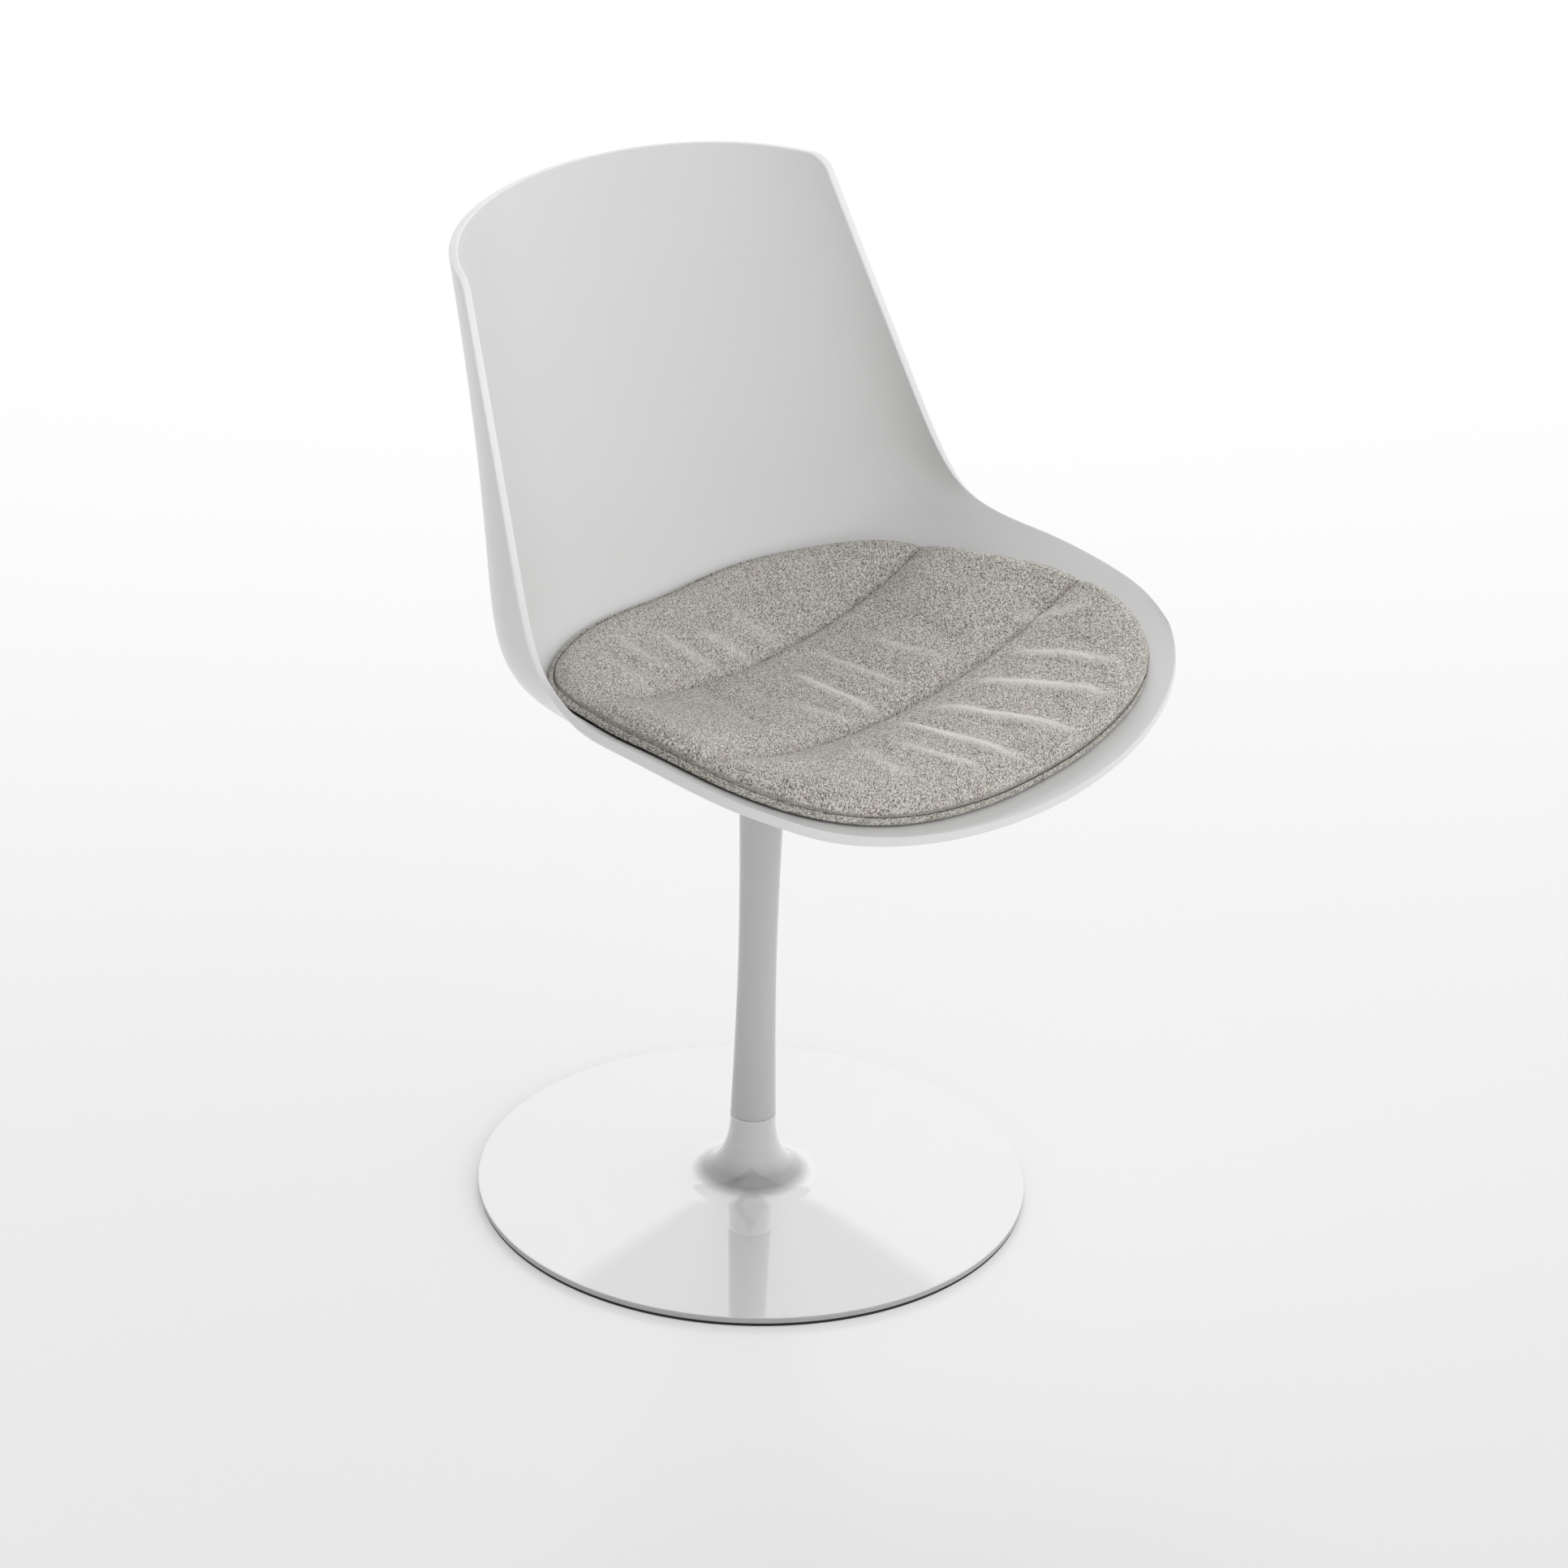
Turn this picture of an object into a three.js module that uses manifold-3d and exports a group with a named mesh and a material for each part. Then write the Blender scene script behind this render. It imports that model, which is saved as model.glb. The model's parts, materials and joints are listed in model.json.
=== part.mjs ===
// Pedestal swivel chair: a moulded shell seat with a quilted cushion, on a trumpet column and a round base.
// Millimetres, +Z up. The origin is on the floor, on the column's axis, and the seat faces -Y.
import * as THREE from "three";
import { mergeVertices } from "three/addons/utils/BufferGeometryUtils.js";
import Module from "manifold-3d";

const wasm = await Module();
wasm.setup();

// Driving dimensions of the whole chair
const shellWidth = 550;
const frontReach = 287;
const backReach = 215;
const shellRise = 377;
const columnTopHeight = 424.4;
const baseDiameter = 445;

// Fits
const fitGap = 0.3;
const clothGap = 0.5;
const cutOverrun = 1;

// Seat shell
const shellWall = 7;
const rimLand = 8;
const lipSpread = 2;
const topCornerRadius = 12;
const rimChamfer = 1.6;
const footRadius = 68;
const footDraft = 9;
const lipAboveFoot = 10;

// Stations of the shell, counted from the front corner up to the top corner. Each one is a share of the
// half width, of the full depth from the lip back, and of the height from the lip up to the top.
const rimWidthShares = [0.891, 0.975, 0.996, 1, 1, 0.978, 0.964, 0.942, 0.902, 0.844, 0.8];
const rimDepthShares = [0.152, 0.224, 0.325, 0.414, 0.482, 0.538, 0.588, 0.626, 0.675, 0.749, 0.805];
const rimHeightShares = [0.098, 0.13, 0.159, 0.18, 0.188, 0.212, 0.255, 0.345, 0.512, 0.759, 0.944];
const spineDepthShares = [0, 0.11, 0.221, 0.331, 0.438, 0.548, 0.663, 0.771, 0.831, 0.902, 0.986];
const spineHeightShares = [0, 0.012, 0.016, 0.016, 0.015, 0.016, 0.04, 0.101, 0.305, 0.613, 1];
const archDegrees = [72.5, 60, 53, 53, 61, 76, 93, 101, 92, 81, 76];
const uprightShares = [0, 0, 0, 0, 0.1, 0.35, 0.7, 1, 1, 1, 1];

// Cushion: it starts and ends at shares of the shell's depth, and its half width is a share of the
// shell's, as is the step by which it lies off the shell's middle. The outline runs from the front
// round one side to the back, in shares of that half width and of the cushion's length, and the two
// seams cross it at shares of the length.
const cushionStartShare = 0.041;
const cushionEndShare = 0.768;
const cushionWidthShare = 0.873;
const cushionAsideShare = -0.036;
const outlineWidthShares = [0, 0.197, 0.413, 0.667, 0.914, 1.03, 1.005, 0.961, 0.884, 0.69, 0.45, 0.215, 0];
const outlineDepthShares = [0, 0, 0.016, 0.052, 0.151, 0.318, 0.501, 0.666, 0.827, 0.927, 0.981, 1, 1];
const frontSeamShare = 0.364;
const backSeamShare = 0.737;
const hookThickness = 1.5;
const underlayThickness = 1;
const bandHeight = 5;
const bandThickness = 1.4;
const cushionThickness = 20;
const seamThickness = 10;
const crownRun = 45;
const hookRadius = 20;
const hookSideShare = 0.466;
const hookFrontShare = 0.2;
const hookBackShare = 0.65;

// Column
const columnFootRadius = 18.4;
const columnWaistRadius = 15.4;
const columnWaistHeight = 209;
const columnBellyGrowth = 5.4;
const columnFlareGrowth = 23.2;
const columnFootPower = 1.6;
const columnBellyPower = 1.8;
const columnFlarePower = 9;
const columnWall = 3;
const columnBoreRadius = 13;
const neckRadius = 10.6;
const neckHeight = 176;
const neckThickness = 6;
const columnRingInnerRadius = 25;
const columnRingDepth = 10;

// Seat plate and its screws
const seatPlateRadius = 67;
const seatPlateRound = 1;
const seatPlateThickness = 5;
const seatScrewSpacing = 80;
const seatScrewRadius = 3;
const seatScrewHeadRadius = 5.4;
const seatScrewHeadHeight = 3.4;
const insertWall = 1.4;
const insertLength = 9;
const columnScrewRadius = 2.5;
const columnScrewCircle = 32;
const columnScrewHeadRadius = 4.8;
const columnScrewLength = 12;

// Swivel
const spindleRadius = 9;
const spindleFootRadius = 15.5;
const spindleFlangeRadius = 34;
const spindleFlangeThickness = 6;
const spindleScrewRadius = 3;
const spindleScrewCircle = 24;
const spindleScrewHeadRadius = 5.6;
const spindleScrewLength = 8.4;
const thrustWasherThickness = 1.5;
const bushWall = 3.4;
const bushLength = 26;
const bushFlangeThickness = 2.7;
const upperBushLength = 20;
const retainerRadius = 11.8;
const retainerThickness = 2;
const retainerPlay = 0.8;
const retainerScrewRadius = 2.6;
const retainerScrewHeadRadius = 4.8;
const retainerScrewHeadHeight = 5;
const retainerScrewLength = 16;

// Base
const padThickness = 2.7;
const padInset = 16;
const padChamfer = 0.8;
const baseRimHeight = 5;
const baseRimRound = 0.9;
const baseSkin = 1.6;
const hubTopHeight = 66;
const hubTopRadius = 18.4;
const hubBoreRadius = 16;
const hubCoveWidth = 42;
const hubCoveHeight = 55;
const hubCovePower = 2.4;
const hubWall = 3.5;

// Steps of the shell's grid, and facets round each kind of turned piece
const shellColumns = 10;
const shellRows = 30;
const footSteps = 8;
const hookFacets = 20;
const coveSteps = 9;
const baseFacets = 48;
const columnFacets = 32;
const plateFacets = 48;
const smallFacets = 16;
const hexSides = 6;

// Shapes of the screw heads, as shares of their radius and height
const socketShare = 0.62;
const domeShare = 0.6;

const degree = Math.PI / 180;
const halfWidth = shellWidth / 2;
const shellDepth = frontReach + backReach;
const seatPlateLow = columnTopHeight + fitGap;
const seatPlateHigh = seatPlateLow + seatPlateThickness;
const footFaceHeight = seatPlateHigh + fitGap;
const lipHeight = footFaceHeight + lipAboveFoot;
const baseRadius = baseDiameter / 2;

const colours = {
  shell: { color: 0xe4e4e4, roughness: 0.42, metalness: 0 },
  lacquer: { color: 0xededed, roughness: 0.12, metalness: 0 },
  column: { color: 0xdedede, roughness: 0.4, metalness: 0 },
  steel: { color: 0x9a9c9e, roughness: 0.35, metalness: 1 },
  brass: { color: 0xb8924a, roughness: 0.35, metalness: 1 },
  bush: { color: 0x3a3a3c, roughness: 0.5, metalness: 0 },
  rubber: { color: 0x232323, roughness: 0.85, metalness: 0 },
  cloth: { color: 0xb2b0a8, roughness: 0.95, metalness: 0 },
  hook: { color: 0xd8d6d0, roughness: 0.9, metalness: 0 },
};

const chair = new THREE.Group();

function place(name, geometry, finish) {
  const mesh = new THREE.Mesh(geometry, new THREE.MeshStandardMaterial(colours[finish]));
  mesh.name = name;
  chair.add(mesh);
  return mesh;
}

// Solids from geometries and back, for joins and cuts
function toSolid(geometry) {
  const plain = geometry.clone();
  plain.deleteAttribute("normal");
  plain.deleteAttribute("uv");
  const merged = mergeVertices(plain);
  return new wasm.Manifold(
    new wasm.Mesh({
      numProp: 3,
      vertProperties: new Float32Array(merged.attributes.position.array),
      triVerts: new Uint32Array(merged.index.array),
    }),
  );
}

function toGeometry(solid) {
  const mesh = solid.getMesh();
  const geometry = new THREE.BufferGeometry();
  geometry.setAttribute("position", new THREE.BufferAttribute(mesh.vertProperties, 3));
  geometry.setIndex(new THREE.BufferAttribute(mesh.triVerts, 1));
  geometry.computeVertexNormals();
  return geometry;
}

function cut(geometry, tools) {
  return toGeometry(tools.reduce((solid, tool) => solid.subtract(toSolid(tool)), toSolid(geometry)));
}

function join(geometry, others) {
  return toGeometry(others.reduce((solid, other) => solid.add(toSolid(other)), toSolid(geometry)));
}

// A turned solid from pairs of radius and height, listed with the solid on the left of the walk
function turned(profile, facets) {
  const points = profile.map(([radius, height]) => new THREE.Vector2(radius, height));
  const geometry = new THREE.LatheGeometry(points, facets);
  geometry.rotateX(Math.PI / 2);
  return geometry;
}

function rod(radius, low, high, facets = smallFacets) {
  return turned([[0, low], [radius, low], [radius, high], [0, high]], facets);
}

function tube(inner, outer, low, high, facets = smallFacets) {
  return turned([[inner, low], [outer, low], [outer, high], [inner, high], [inner, low]], facets);
}

function at(geometry, x, y) {
  geometry.translate(x, y, 0);
  return geometry;
}

// A cone frustum joined to a rod, for the seat of a countersunk head; the wide end is at headHeight
function countersink(headRadius, shankRadius, headHeight, farHeight) {
  const towards = Math.sign(farHeight - headHeight);
  const coneHeight = headHeight + towards * (headRadius - shankRadius);
  const profile = [[0, headHeight], [headRadius, headHeight], [shankRadius, coneHeight]];
  profile.push([shankRadius, farHeight], [0, farHeight]);
  if (towards < 0) profile.reverse();
  return turned(profile, smallFacets);
}

function hexSocket(radius, low, high) {
  return rod(radius, low, high, hexSides);
}

// A smooth curve over evenly spaced stations: a cubic B-spline that starts and ends on its end values
function along(values, share) {
  const last = values.length - 1;
  const position = Math.min(Math.max(share, 0), 1) * last;
  const index = Math.min(Math.floor(position), last - 1);
  const t = position - index;
  const before = index > 0 ? values[index - 1] : 2 * values[0] - values[1];
  const after = index < last - 1 ? values[index + 2] : 2 * values[last] - values[last - 1];
  const weights = [(1 - t) ** 3, 3 * t ** 3 - 6 * t ** 2 + 4, 3 * t * (1 + t - t ** 2) + 1, t ** 3];
  const points = [before, values[index], values[index + 1], after];
  return points.reduce((sum, value, k) => sum + (value * weights[k]) / 6, 0);
}

const depthAt = (share) => shellDepth * share - frontReach;
const heightAt = (share) => shellRise * share + lipHeight;

// The spine is the shell's middle line, from the lip along the seat and up the back
function spine(v, offset) {
  const step = 0.002;
  const here = new THREE.Vector2(depthAt(along(spineDepthShares, v)), heightAt(along(spineHeightShares, v)));
  const low = Math.max(v - step, 0);
  const high = Math.min(v + step, 1);
  const run = depthAt(along(spineDepthShares, high)) - depthAt(along(spineDepthShares, low));
  const rise = heightAt(along(spineHeightShares, high)) - heightAt(along(spineHeightShares, low));
  const outward = new THREE.Vector2(rise, -run).normalize();
  return here.addScaledVector(outward, offset);
}

// Every cross-section is an arc of an ellipse that leaves the spine square to it and ends at the rim.
// u runs from -1 at the left rim to 1 at the right, v from the lip to the top; face 0 is the inside
// and 1 the outside. The wall is cut along X where the rim stands upright, and downward at the seat.
function shellPoint(u, v, face) {
  const upright = along(uprightShares, v);
  const side = Math.abs(u);
  const arch = along(archDegrees, v) * degree;
  const middle = spine(v, face * shellWall);
  const rimX = halfWidth * along(rimWidthShares, v) - (1 - face) * rimLand * upright;
  const outX = rimX + face * lipSpread * (1 - upright);
  const rimY = depthAt(along(rimDepthShares, v));
  const rimZ = heightAt(along(rimHeightShares, v)) - face * shellWall * (1 - upright);
  const sweep = (1 - Math.cos(side * arch)) / (1 - Math.cos(arch));
  return new THREE.Vector3(
    (Math.sign(u) * outX * Math.sin(side * arch)) / Math.sin(arch),
    middle.x + (rimY - middle.x) * sweep,
    middle.y + (rimZ - middle.y) * sweep,
  );
}

// Lengths of the shell's surface near a top corner, which turn lengths in millimetres into shares
const cornerSpanU = shellPoint(1, 1, 1).distanceTo(shellPoint(0.9, 1, 1)) / 0.1;
const cornerSpanV = shellPoint(1, 1, 1).distanceTo(shellPoint(1, 0.98, 1)) / 0.02;
const cornerShareU = topCornerRadius / cornerSpanU;
const cornerShareV = topCornerRadius / cornerSpanV;

// The square corner of the grid is drawn onto a quarter circle
function roundedCorner(u, v) {
  const across = 1 - (1 - Math.abs(u)) / cornerShareU;
  const upward = 1 - (1 - v) / cornerShareV;
  if (across <= 0 || upward <= 0) return [u, v];
  const pull = Math.max(across, upward) / Math.hypot(across, upward);
  const roundU = 1 - cornerShareU * (1 - across * pull);
  return [Math.sign(u) * roundU, 1 - cornerShareV * (1 - upward * pull)];
}

function evenly(from, to, count) {
  return Array.from({ length: count + 1 }, (_, k) => from + ((to - from) * k) / count);
}

// A closed skin between an upper and a lower grid of the same size, joined round their edge
function closedGrid(upper, lower) {
  const rows = upper.length;
  const columns = upper[0].length;
  const positions = [];
  [upper, lower].forEach((grid) => grid.forEach((row) => row.forEach((point) => positions.push(...point))));
  const index = (face, row, column) => (face * rows + row) * columns + column;
  const triangles = [];
  for (let row = 0; row < rows - 1; row += 1) {
    for (let column = 0; column < columns - 1; column += 1) {
      // The diagonal turns over at the middle so that each side mirrors the other
      const flip = column >= (columns - 1) / 2;
      [0, 1].forEach((face) => {
        const a = index(face, row, column);
        const b = index(face, row, column + 1);
        const c = index(face, row + 1, column + 1);
        const d = index(face, row + 1, column);
        const pair = flip ? [[a, b, d], [b, c, d]] : [[a, b, c], [a, c, d]];
        pair.forEach(([p, q, r]) => triangles.push(...(face === 0 ? [p, q, r] : [p, r, q])));
      });
    }
  }
  const border = [];
  for (let column = 0; column < columns - 1; column += 1) border.push([0, column]);
  for (let row = 0; row < rows - 1; row += 1) border.push([row, columns - 1]);
  for (let column = columns - 1; column > 0; column -= 1) border.push([rows - 1, column]);
  for (let row = rows - 1; row > 0; row -= 1) border.push([row, 0]);
  border.forEach(([row, column], k) => {
    const [nextRow, nextColumn] = border[(k + 1) % border.length];
    const a = index(0, row, column);
    const b = index(0, nextRow, nextColumn);
    const c = index(1, nextRow, nextColumn);
    const d = index(1, row, column);
    triangles.push(a, c, b, a, d, c);
  });
  const geometry = new THREE.BufferGeometry();
  geometry.setAttribute("position", new THREE.Float32BufferAttribute(positions, 3));
  geometry.setIndex(triangles);
  return geometry;
}

// The shell's grid: even columns and rows, closer at the rounded corners and at the chamfered rim
function shellGrid(face) {
  const chamferU = rimChamfer / cornerSpanU;
  const chamferV = rimChamfer / cornerSpanV;
  const half = [...evenly(0, 1 - cornerShareU, shellColumns), 1 - cornerShareU / 2, 1 - chamferU, 1];
  const columns = [...half.slice(1).reverse().map((u) => -u), ...half];
  const climb = evenly(0, 1 - cornerShareV, shellRows).slice(1);
  const rows = [0, chamferV, ...climb, 1 - cornerShareV / 2, 1 - chamferV, 1];
  return rows.map((v) =>
    columns.map((u) => {
      const [roundU, roundV] = roundedCorner(u, v);
      const point = shellPoint(roundU, roundV, face);
      const onRim = Math.abs(u) === 1 || v === 0 || v === 1;
      if (!onRim) return point.toArray();
      const across = shellPoint(roundU, roundV, 1 - face);
      const wall = point.distanceTo(across);
      return point.lerp(across, rimChamfer / wall).toArray();
    }),
  );
}

// The shell's inside over a point of the plan, found by stepping u and v until x and y agree
function seatAt(x, y) {
  const step = 0.001;
  let u = x / halfWidth;
  let v = (y + frontReach) / shellDepth;
  for (let turn = 0; turn < 12; turn += 1) {
    const here = shellPoint(u, v, 0);
    const alongU = shellPoint(u + step, v, 0).sub(here).divideScalar(step);
    const alongV = shellPoint(u, v + step, 0).sub(here).divideScalar(step);
    const missX = x - here.x;
    const missY = y - here.y;
    const scale = alongU.x * alongV.y - alongU.y * alongV.x;
    u += (missX * alongV.y - missY * alongV.x) / scale;
    v += (missY * alongU.x - missX * alongU.y) / scale;
  }
  const point = shellPoint(u, v, 0);
  const alongU = shellPoint(u + step, v, 0).sub(point);
  const alongV = shellPoint(u, v + step, 0).sub(point);
  return { point, normal: alongU.cross(alongV).normalize() };
}

function aboveSeat(x, y, rise) {
  const { point, normal } = seatAt(x, y);
  return point.addScaledVector(normal, rise);
}

const seatCorners = [[-1, -1], [1, -1], [1, 1], [-1, 1]].map(([sideX, sideY]) => ({
  x: (sideX * seatScrewSpacing) / 2,
  y: (sideY * seatScrewSpacing) / 2,
  name: `${sideY < 0 ? "front" : "back"}_${sideX < 0 ? "left" : "right"}`,
}));

const insertRadius = seatScrewRadius + fitGap + insertWall;
const insertHoleTop = footFaceHeight + insertLength + 2 * fitGap;

// The shell's foot is a drafted round pad under the seat, trimmed to the middle of the shell's wall
function makeFoot() {
  const reach = footRadius + footDraft + cutOverrun;
  const floor = footFaceHeight - cutOverrun;
  const places = evenly(-reach, reach, footSteps);
  const upper = places.map((y) => places.map((x) => aboveSeat(x, y, -shellWall / 2).toArray()));
  const lower = upper.map((row) => row.map(([x, y]) => [x, y, floor]));
  const top = Math.max(...upper.flat().map(([, , z]) => z));
  const side = [[footRadius, footFaceHeight], [footRadius + footDraft, top]];
  const drafted = turned([[0, footFaceHeight], ...side, [0, top]], columnFacets);
  return toGeometry(toSolid(closedGrid(upper, lower)).intersect(toSolid(drafted)));
}

function makeShell() {
  const skin = closedGrid(shellGrid(0), shellGrid(1));
  const holes = seatCorners.map(({ x, y }) =>
    at(rod(insertRadius + fitGap, footFaceHeight - cutOverrun, insertHoleTop), x, y),
  );
  place("seat_shell", cut(join(skin, [makeFoot()]), holes), "shell");
}

// Cushion
const hookLow = clothGap;
const underlayLow = hookLow + hookThickness + clothGap;
const padLow = underlayLow + underlayThickness + fitGap;
const bandTop = underlayLow + bandHeight;
const bandInset = bandThickness + fitGap;

const cushionFront = depthAt(cushionStartShare);
const cushionBack = depthAt(cushionEndShare);
const cushionLength = cushionBack - cushionFront;
const cushionMiddle = cushionFront + cushionLength / 2;
const cushionHalfWidth = halfWidth * cushionWidthShare;
const cushionAside = halfWidth * cushionAsideShare;

// An inset draws the outline in evenly towards the cushion's middle
const insetScale = (inset) => 1 - (2 * inset) / cushionLength;

function cushionDepthAt(share, inset) {
  return cushionMiddle + (share - 0.5) * cushionLength * insetScale(inset);
}

// Half width of the outline at a share of the length, found by halving steps along the outline
function cushionHalfAt(share, inset) {
  let front = 0;
  let back = 1;
  for (let turn = 0; turn < 40; turn += 1) {
    const middle = (front + back) / 2;
    if (along(outlineDepthShares, middle) < share) front = middle;
    else back = middle;
  }
  const half = cushionHalfWidth * insetScale(inset) * along(outlineWidthShares, front);
  return Math.max(half, bandThickness);
}

// Rows of the cushion: each sewn panel has rows close to its seams and to the rounded ends
const frontPanelShares = [0, 0.004, 0.03, 0.1, 0.24, 0.45, 0.7, 0.9, 1];
const middlePanelShares = [0.1, 0.3, 0.5, 0.7, 0.9, 1];
const backPanelShares = [0.12, 0.32, 0.55, 0.76, 0.9, 0.97, 0.994, 1];
const acrossShares = [0, 0.16, 0.33, 0.5, 0.66, 0.8, 0.9, 0.965, 1];

const between = (from, to, shares) => shares.map((share) => from + (to - from) * share);
const cushionRows = [
  ...between(0, frontSeamShare, frontPanelShares),
  ...between(frontSeamShare, backSeamShare, middlePanelShares),
  ...between(backSeamShare, 1, backPanelShares),
];

// Height of the padded top: each panel is crowned, drawn down at its seams and rounded at the edge
function padRise(across, share) {
  const toSeam = Math.min(Math.abs(share - frontSeamShare), Math.abs(share - backSeamShare));
  const crown = 1 - (1 - Math.min((toSeam * cushionLength) / crownRun, 1)) ** 2;
  const edge = Math.sqrt(Math.min(1 - across ** 8, 1 - Math.abs(2 * share - 1) ** 10));
  const top = seamThickness + (cushionThickness - seamThickness) * crown;
  return padLow + bandHeight + (top - bandHeight) * edge;
}

function makeCushion() {
  const across = [...acrossShares.slice(1).reverse().map((share) => -share), ...acrossShares];
  const grid = (inset, rise) =>
    cushionRows.map((row) => {
      const half = cushionHalfAt(row, inset);
      const y = cushionDepthAt(row, inset);
      return across.map((share) =>
        aboveSeat(cushionAside + share * half, y, rise(Math.abs(share), row)).toArray(),
      );
    });
  const flat = (height) => () => height;
  place("cushion_pad", closedGrid(grid(bandInset, padRise), grid(bandInset, flat(padLow))), "cloth");
  const sheet = (height) => grid(bandInset, flat(height));
  const underlay = closedGrid(sheet(underlayLow + underlayThickness), sheet(underlayLow));
  place("cushion_underlay", underlay, "hook");
}

// The boxing band follows the cushion's outline as a closed strip
function makeBand() {
  const edge = (inset) => {
    const right = cushionRows.map((row) => [cushionHalfAt(row, inset), cushionDepthAt(row, inset)]);
    const left = right.map(([x, y]) => [-x, y]).reverse();
    return [...right, ...left].map(([x, y]) => [cushionAside + x, y]);
  };
  const outer = edge(0);
  const inner = edge(bandThickness);
  const count = outer.length;
  const outline = outer.map((point, k) => [
    aboveSeat(...point, underlayLow),
    aboveSeat(...point, bandTop),
    aboveSeat(...inner[k], bandTop),
    aboveSeat(...inner[k], underlayLow),
  ]);
  const positions = outline.flat().flatMap((corner) => corner.toArray());
  const triangles = [];
  for (let k = 0; k < count; k += 1) {
    for (let side = 0; side < 4; side += 1) {
      const a = k * 4 + side;
      const b = k * 4 + ((side + 1) % 4);
      const c = ((k + 1) % count) * 4 + ((side + 1) % 4);
      const d = ((k + 1) % count) * 4 + side;
      triangles.push(a, c, b, a, d, c);
    }
  }
  const geometry = new THREE.BufferGeometry();
  geometry.setAttribute("position", new THREE.Float32BufferAttribute(positions, 3));
  geometry.setIndex(triangles);
  place("cushion_band", geometry, "cloth");
}

// Round hook-and-loop patches that hold the cushion to the shell
function makeHooks() {
  const side = cushionHalfWidth * hookSideShare;
  const places = [
    ["hook_patch_front_left", cushionAside - side, hookFrontShare],
    ["hook_patch_front_right", cushionAside + side, hookFrontShare],
    ["hook_patch_back_left", cushionAside - side, hookBackShare],
    ["hook_patch_back_right", cushionAside + side, hookBackShare],
  ];
  places.forEach(([name, x, share]) => {
    const y = cushionDepthAt(share, 0);
    const rise = [hookLow, hookLow + hookThickness];
    const positions = rise.flatMap((height) => aboveSeat(x, y, height).toArray());
    for (let k = 0; k < hookFacets; k += 1) {
      const angle = (k * 2 * Math.PI) / hookFacets;
      const edgeX = x + hookRadius * Math.cos(angle);
      const edgeY = y + hookRadius * Math.sin(angle);
      rise.forEach((height) => positions.push(...aboveSeat(edgeX, edgeY, height).toArray()));
    }
    const triangles = [];
    for (let k = 0; k < hookFacets; k += 1) {
      const here = 2 + 2 * k;
      const next = 2 + 2 * ((k + 1) % hookFacets);
      triangles.push(0, next, here, 1, here + 1, next + 1, here, next, next + 1, here, next + 1, here + 1);
    }
    const geometry = new THREE.BufferGeometry();
    geometry.setAttribute("position", new THREE.Float32BufferAttribute(positions, 3));
    geometry.setIndex(triangles);
    place(name, geometry, "hook");
  });
}

// Column: a slim waist that swells to the foot and flares like a trumpet under the seat
const columnFootHeight = hubTopHeight + 2 * fitGap;

function columnRadius(height) {
  if (height < columnWaistHeight) {
    const share = (columnWaistHeight - height) / (columnWaistHeight - columnFootHeight);
    return columnWaistRadius + (columnFootRadius - columnWaistRadius) * share ** columnFootPower;
  }
  const share = (height - columnWaistHeight) / (columnTopHeight - columnWaistHeight);
  const belly = columnBellyGrowth * share ** columnBellyPower;
  return columnWaistRadius + belly + columnFlareGrowth * share ** columnFlarePower;
}

const columnScrewPlaces = evenly(0, 3, 3).map((k) => {
  const angle = k * 90 * degree;
  return { x: columnScrewCircle * Math.cos(angle), y: columnScrewCircle * Math.sin(angle) };
});
const columnScrewTop = seatPlateHigh - fitGap;
const columnScrewTip = columnScrewTop - columnScrewLength;

function makeColumn() {
  const outerShares = [0, 0.25, 0.5, 0.75, 1];
  const upperShares = [0.2, 0.4, 0.56, 0.68, 0.77, 0.84, 0.9, 0.95, 0.98, 1];
  const lower = outerShares.map((share) => columnFootHeight + (columnWaistHeight - columnFootHeight) * share);
  const upper = upperShares.map((share) => columnWaistHeight + (columnTopHeight - columnWaistHeight) * share);
  const ringLow = columnTopHeight - columnRingDepth;
  const neckTop = neckHeight + neckThickness;
  const outer = [...lower, ...upper].map((height) => [columnRadius(height), height]);
  const inner = upper
    .filter((height) => height < ringLow && columnRadius(height) - columnWall < columnRingInnerRadius)
    .map((height) => [columnRadius(height) - columnWall, height])
    .reverse();
  const bore = [
    [columnRingInnerRadius, columnTopHeight],
    [columnRingInnerRadius, ringLow],
    ...inner,
    [columnWaistRadius - columnWall, neckTop],
    [neckRadius, neckTop],
    [neckRadius, neckHeight],
    [columnBoreRadius, neckHeight],
    [columnBoreRadius, columnFootHeight],
  ];
  const body = turned([...outer, ...bore, outer[0]], columnFacets);
  const holes = columnScrewPlaces.map(({ x, y }) =>
    at(rod(columnScrewRadius + fitGap, columnScrewTip - fitGap, columnTopHeight + cutOverrun), x, y),
  );
  place("column", cut(body, holes), "column");
}

// Plate between the column and the shell, with countersunk screws down and plain screws up
function makeSeatPlate() {
  const edge = seatPlateRadius - seatPlateRound;
  const profile = [
    [0, seatPlateLow],
    [edge, seatPlateLow],
    [seatPlateRadius, seatPlateLow + seatPlateRound],
    [seatPlateRadius, seatPlateHigh - seatPlateRound],
    [edge, seatPlateHigh],
    [0, seatPlateHigh],
  ];
  const plate = turned(profile, plateFacets);
  const upHoles = seatCorners.map(({ x, y }) =>
    at(rod(seatScrewRadius + fitGap, seatPlateLow - cutOverrun, seatPlateHigh + cutOverrun), x, y),
  );
  const downHoles = columnScrewPlaces.map(({ x, y }) =>
    at(
      countersink(
        columnScrewHeadRadius + fitGap + cutOverrun,
        columnScrewRadius + fitGap,
        seatPlateHigh + cutOverrun - fitGap,
        seatPlateLow - cutOverrun,
      ),
      x,
      y,
    ),
  );
  place("seat_plate", cut(plate, [...upHoles, ...downHoles]), "steel");
}

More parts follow.
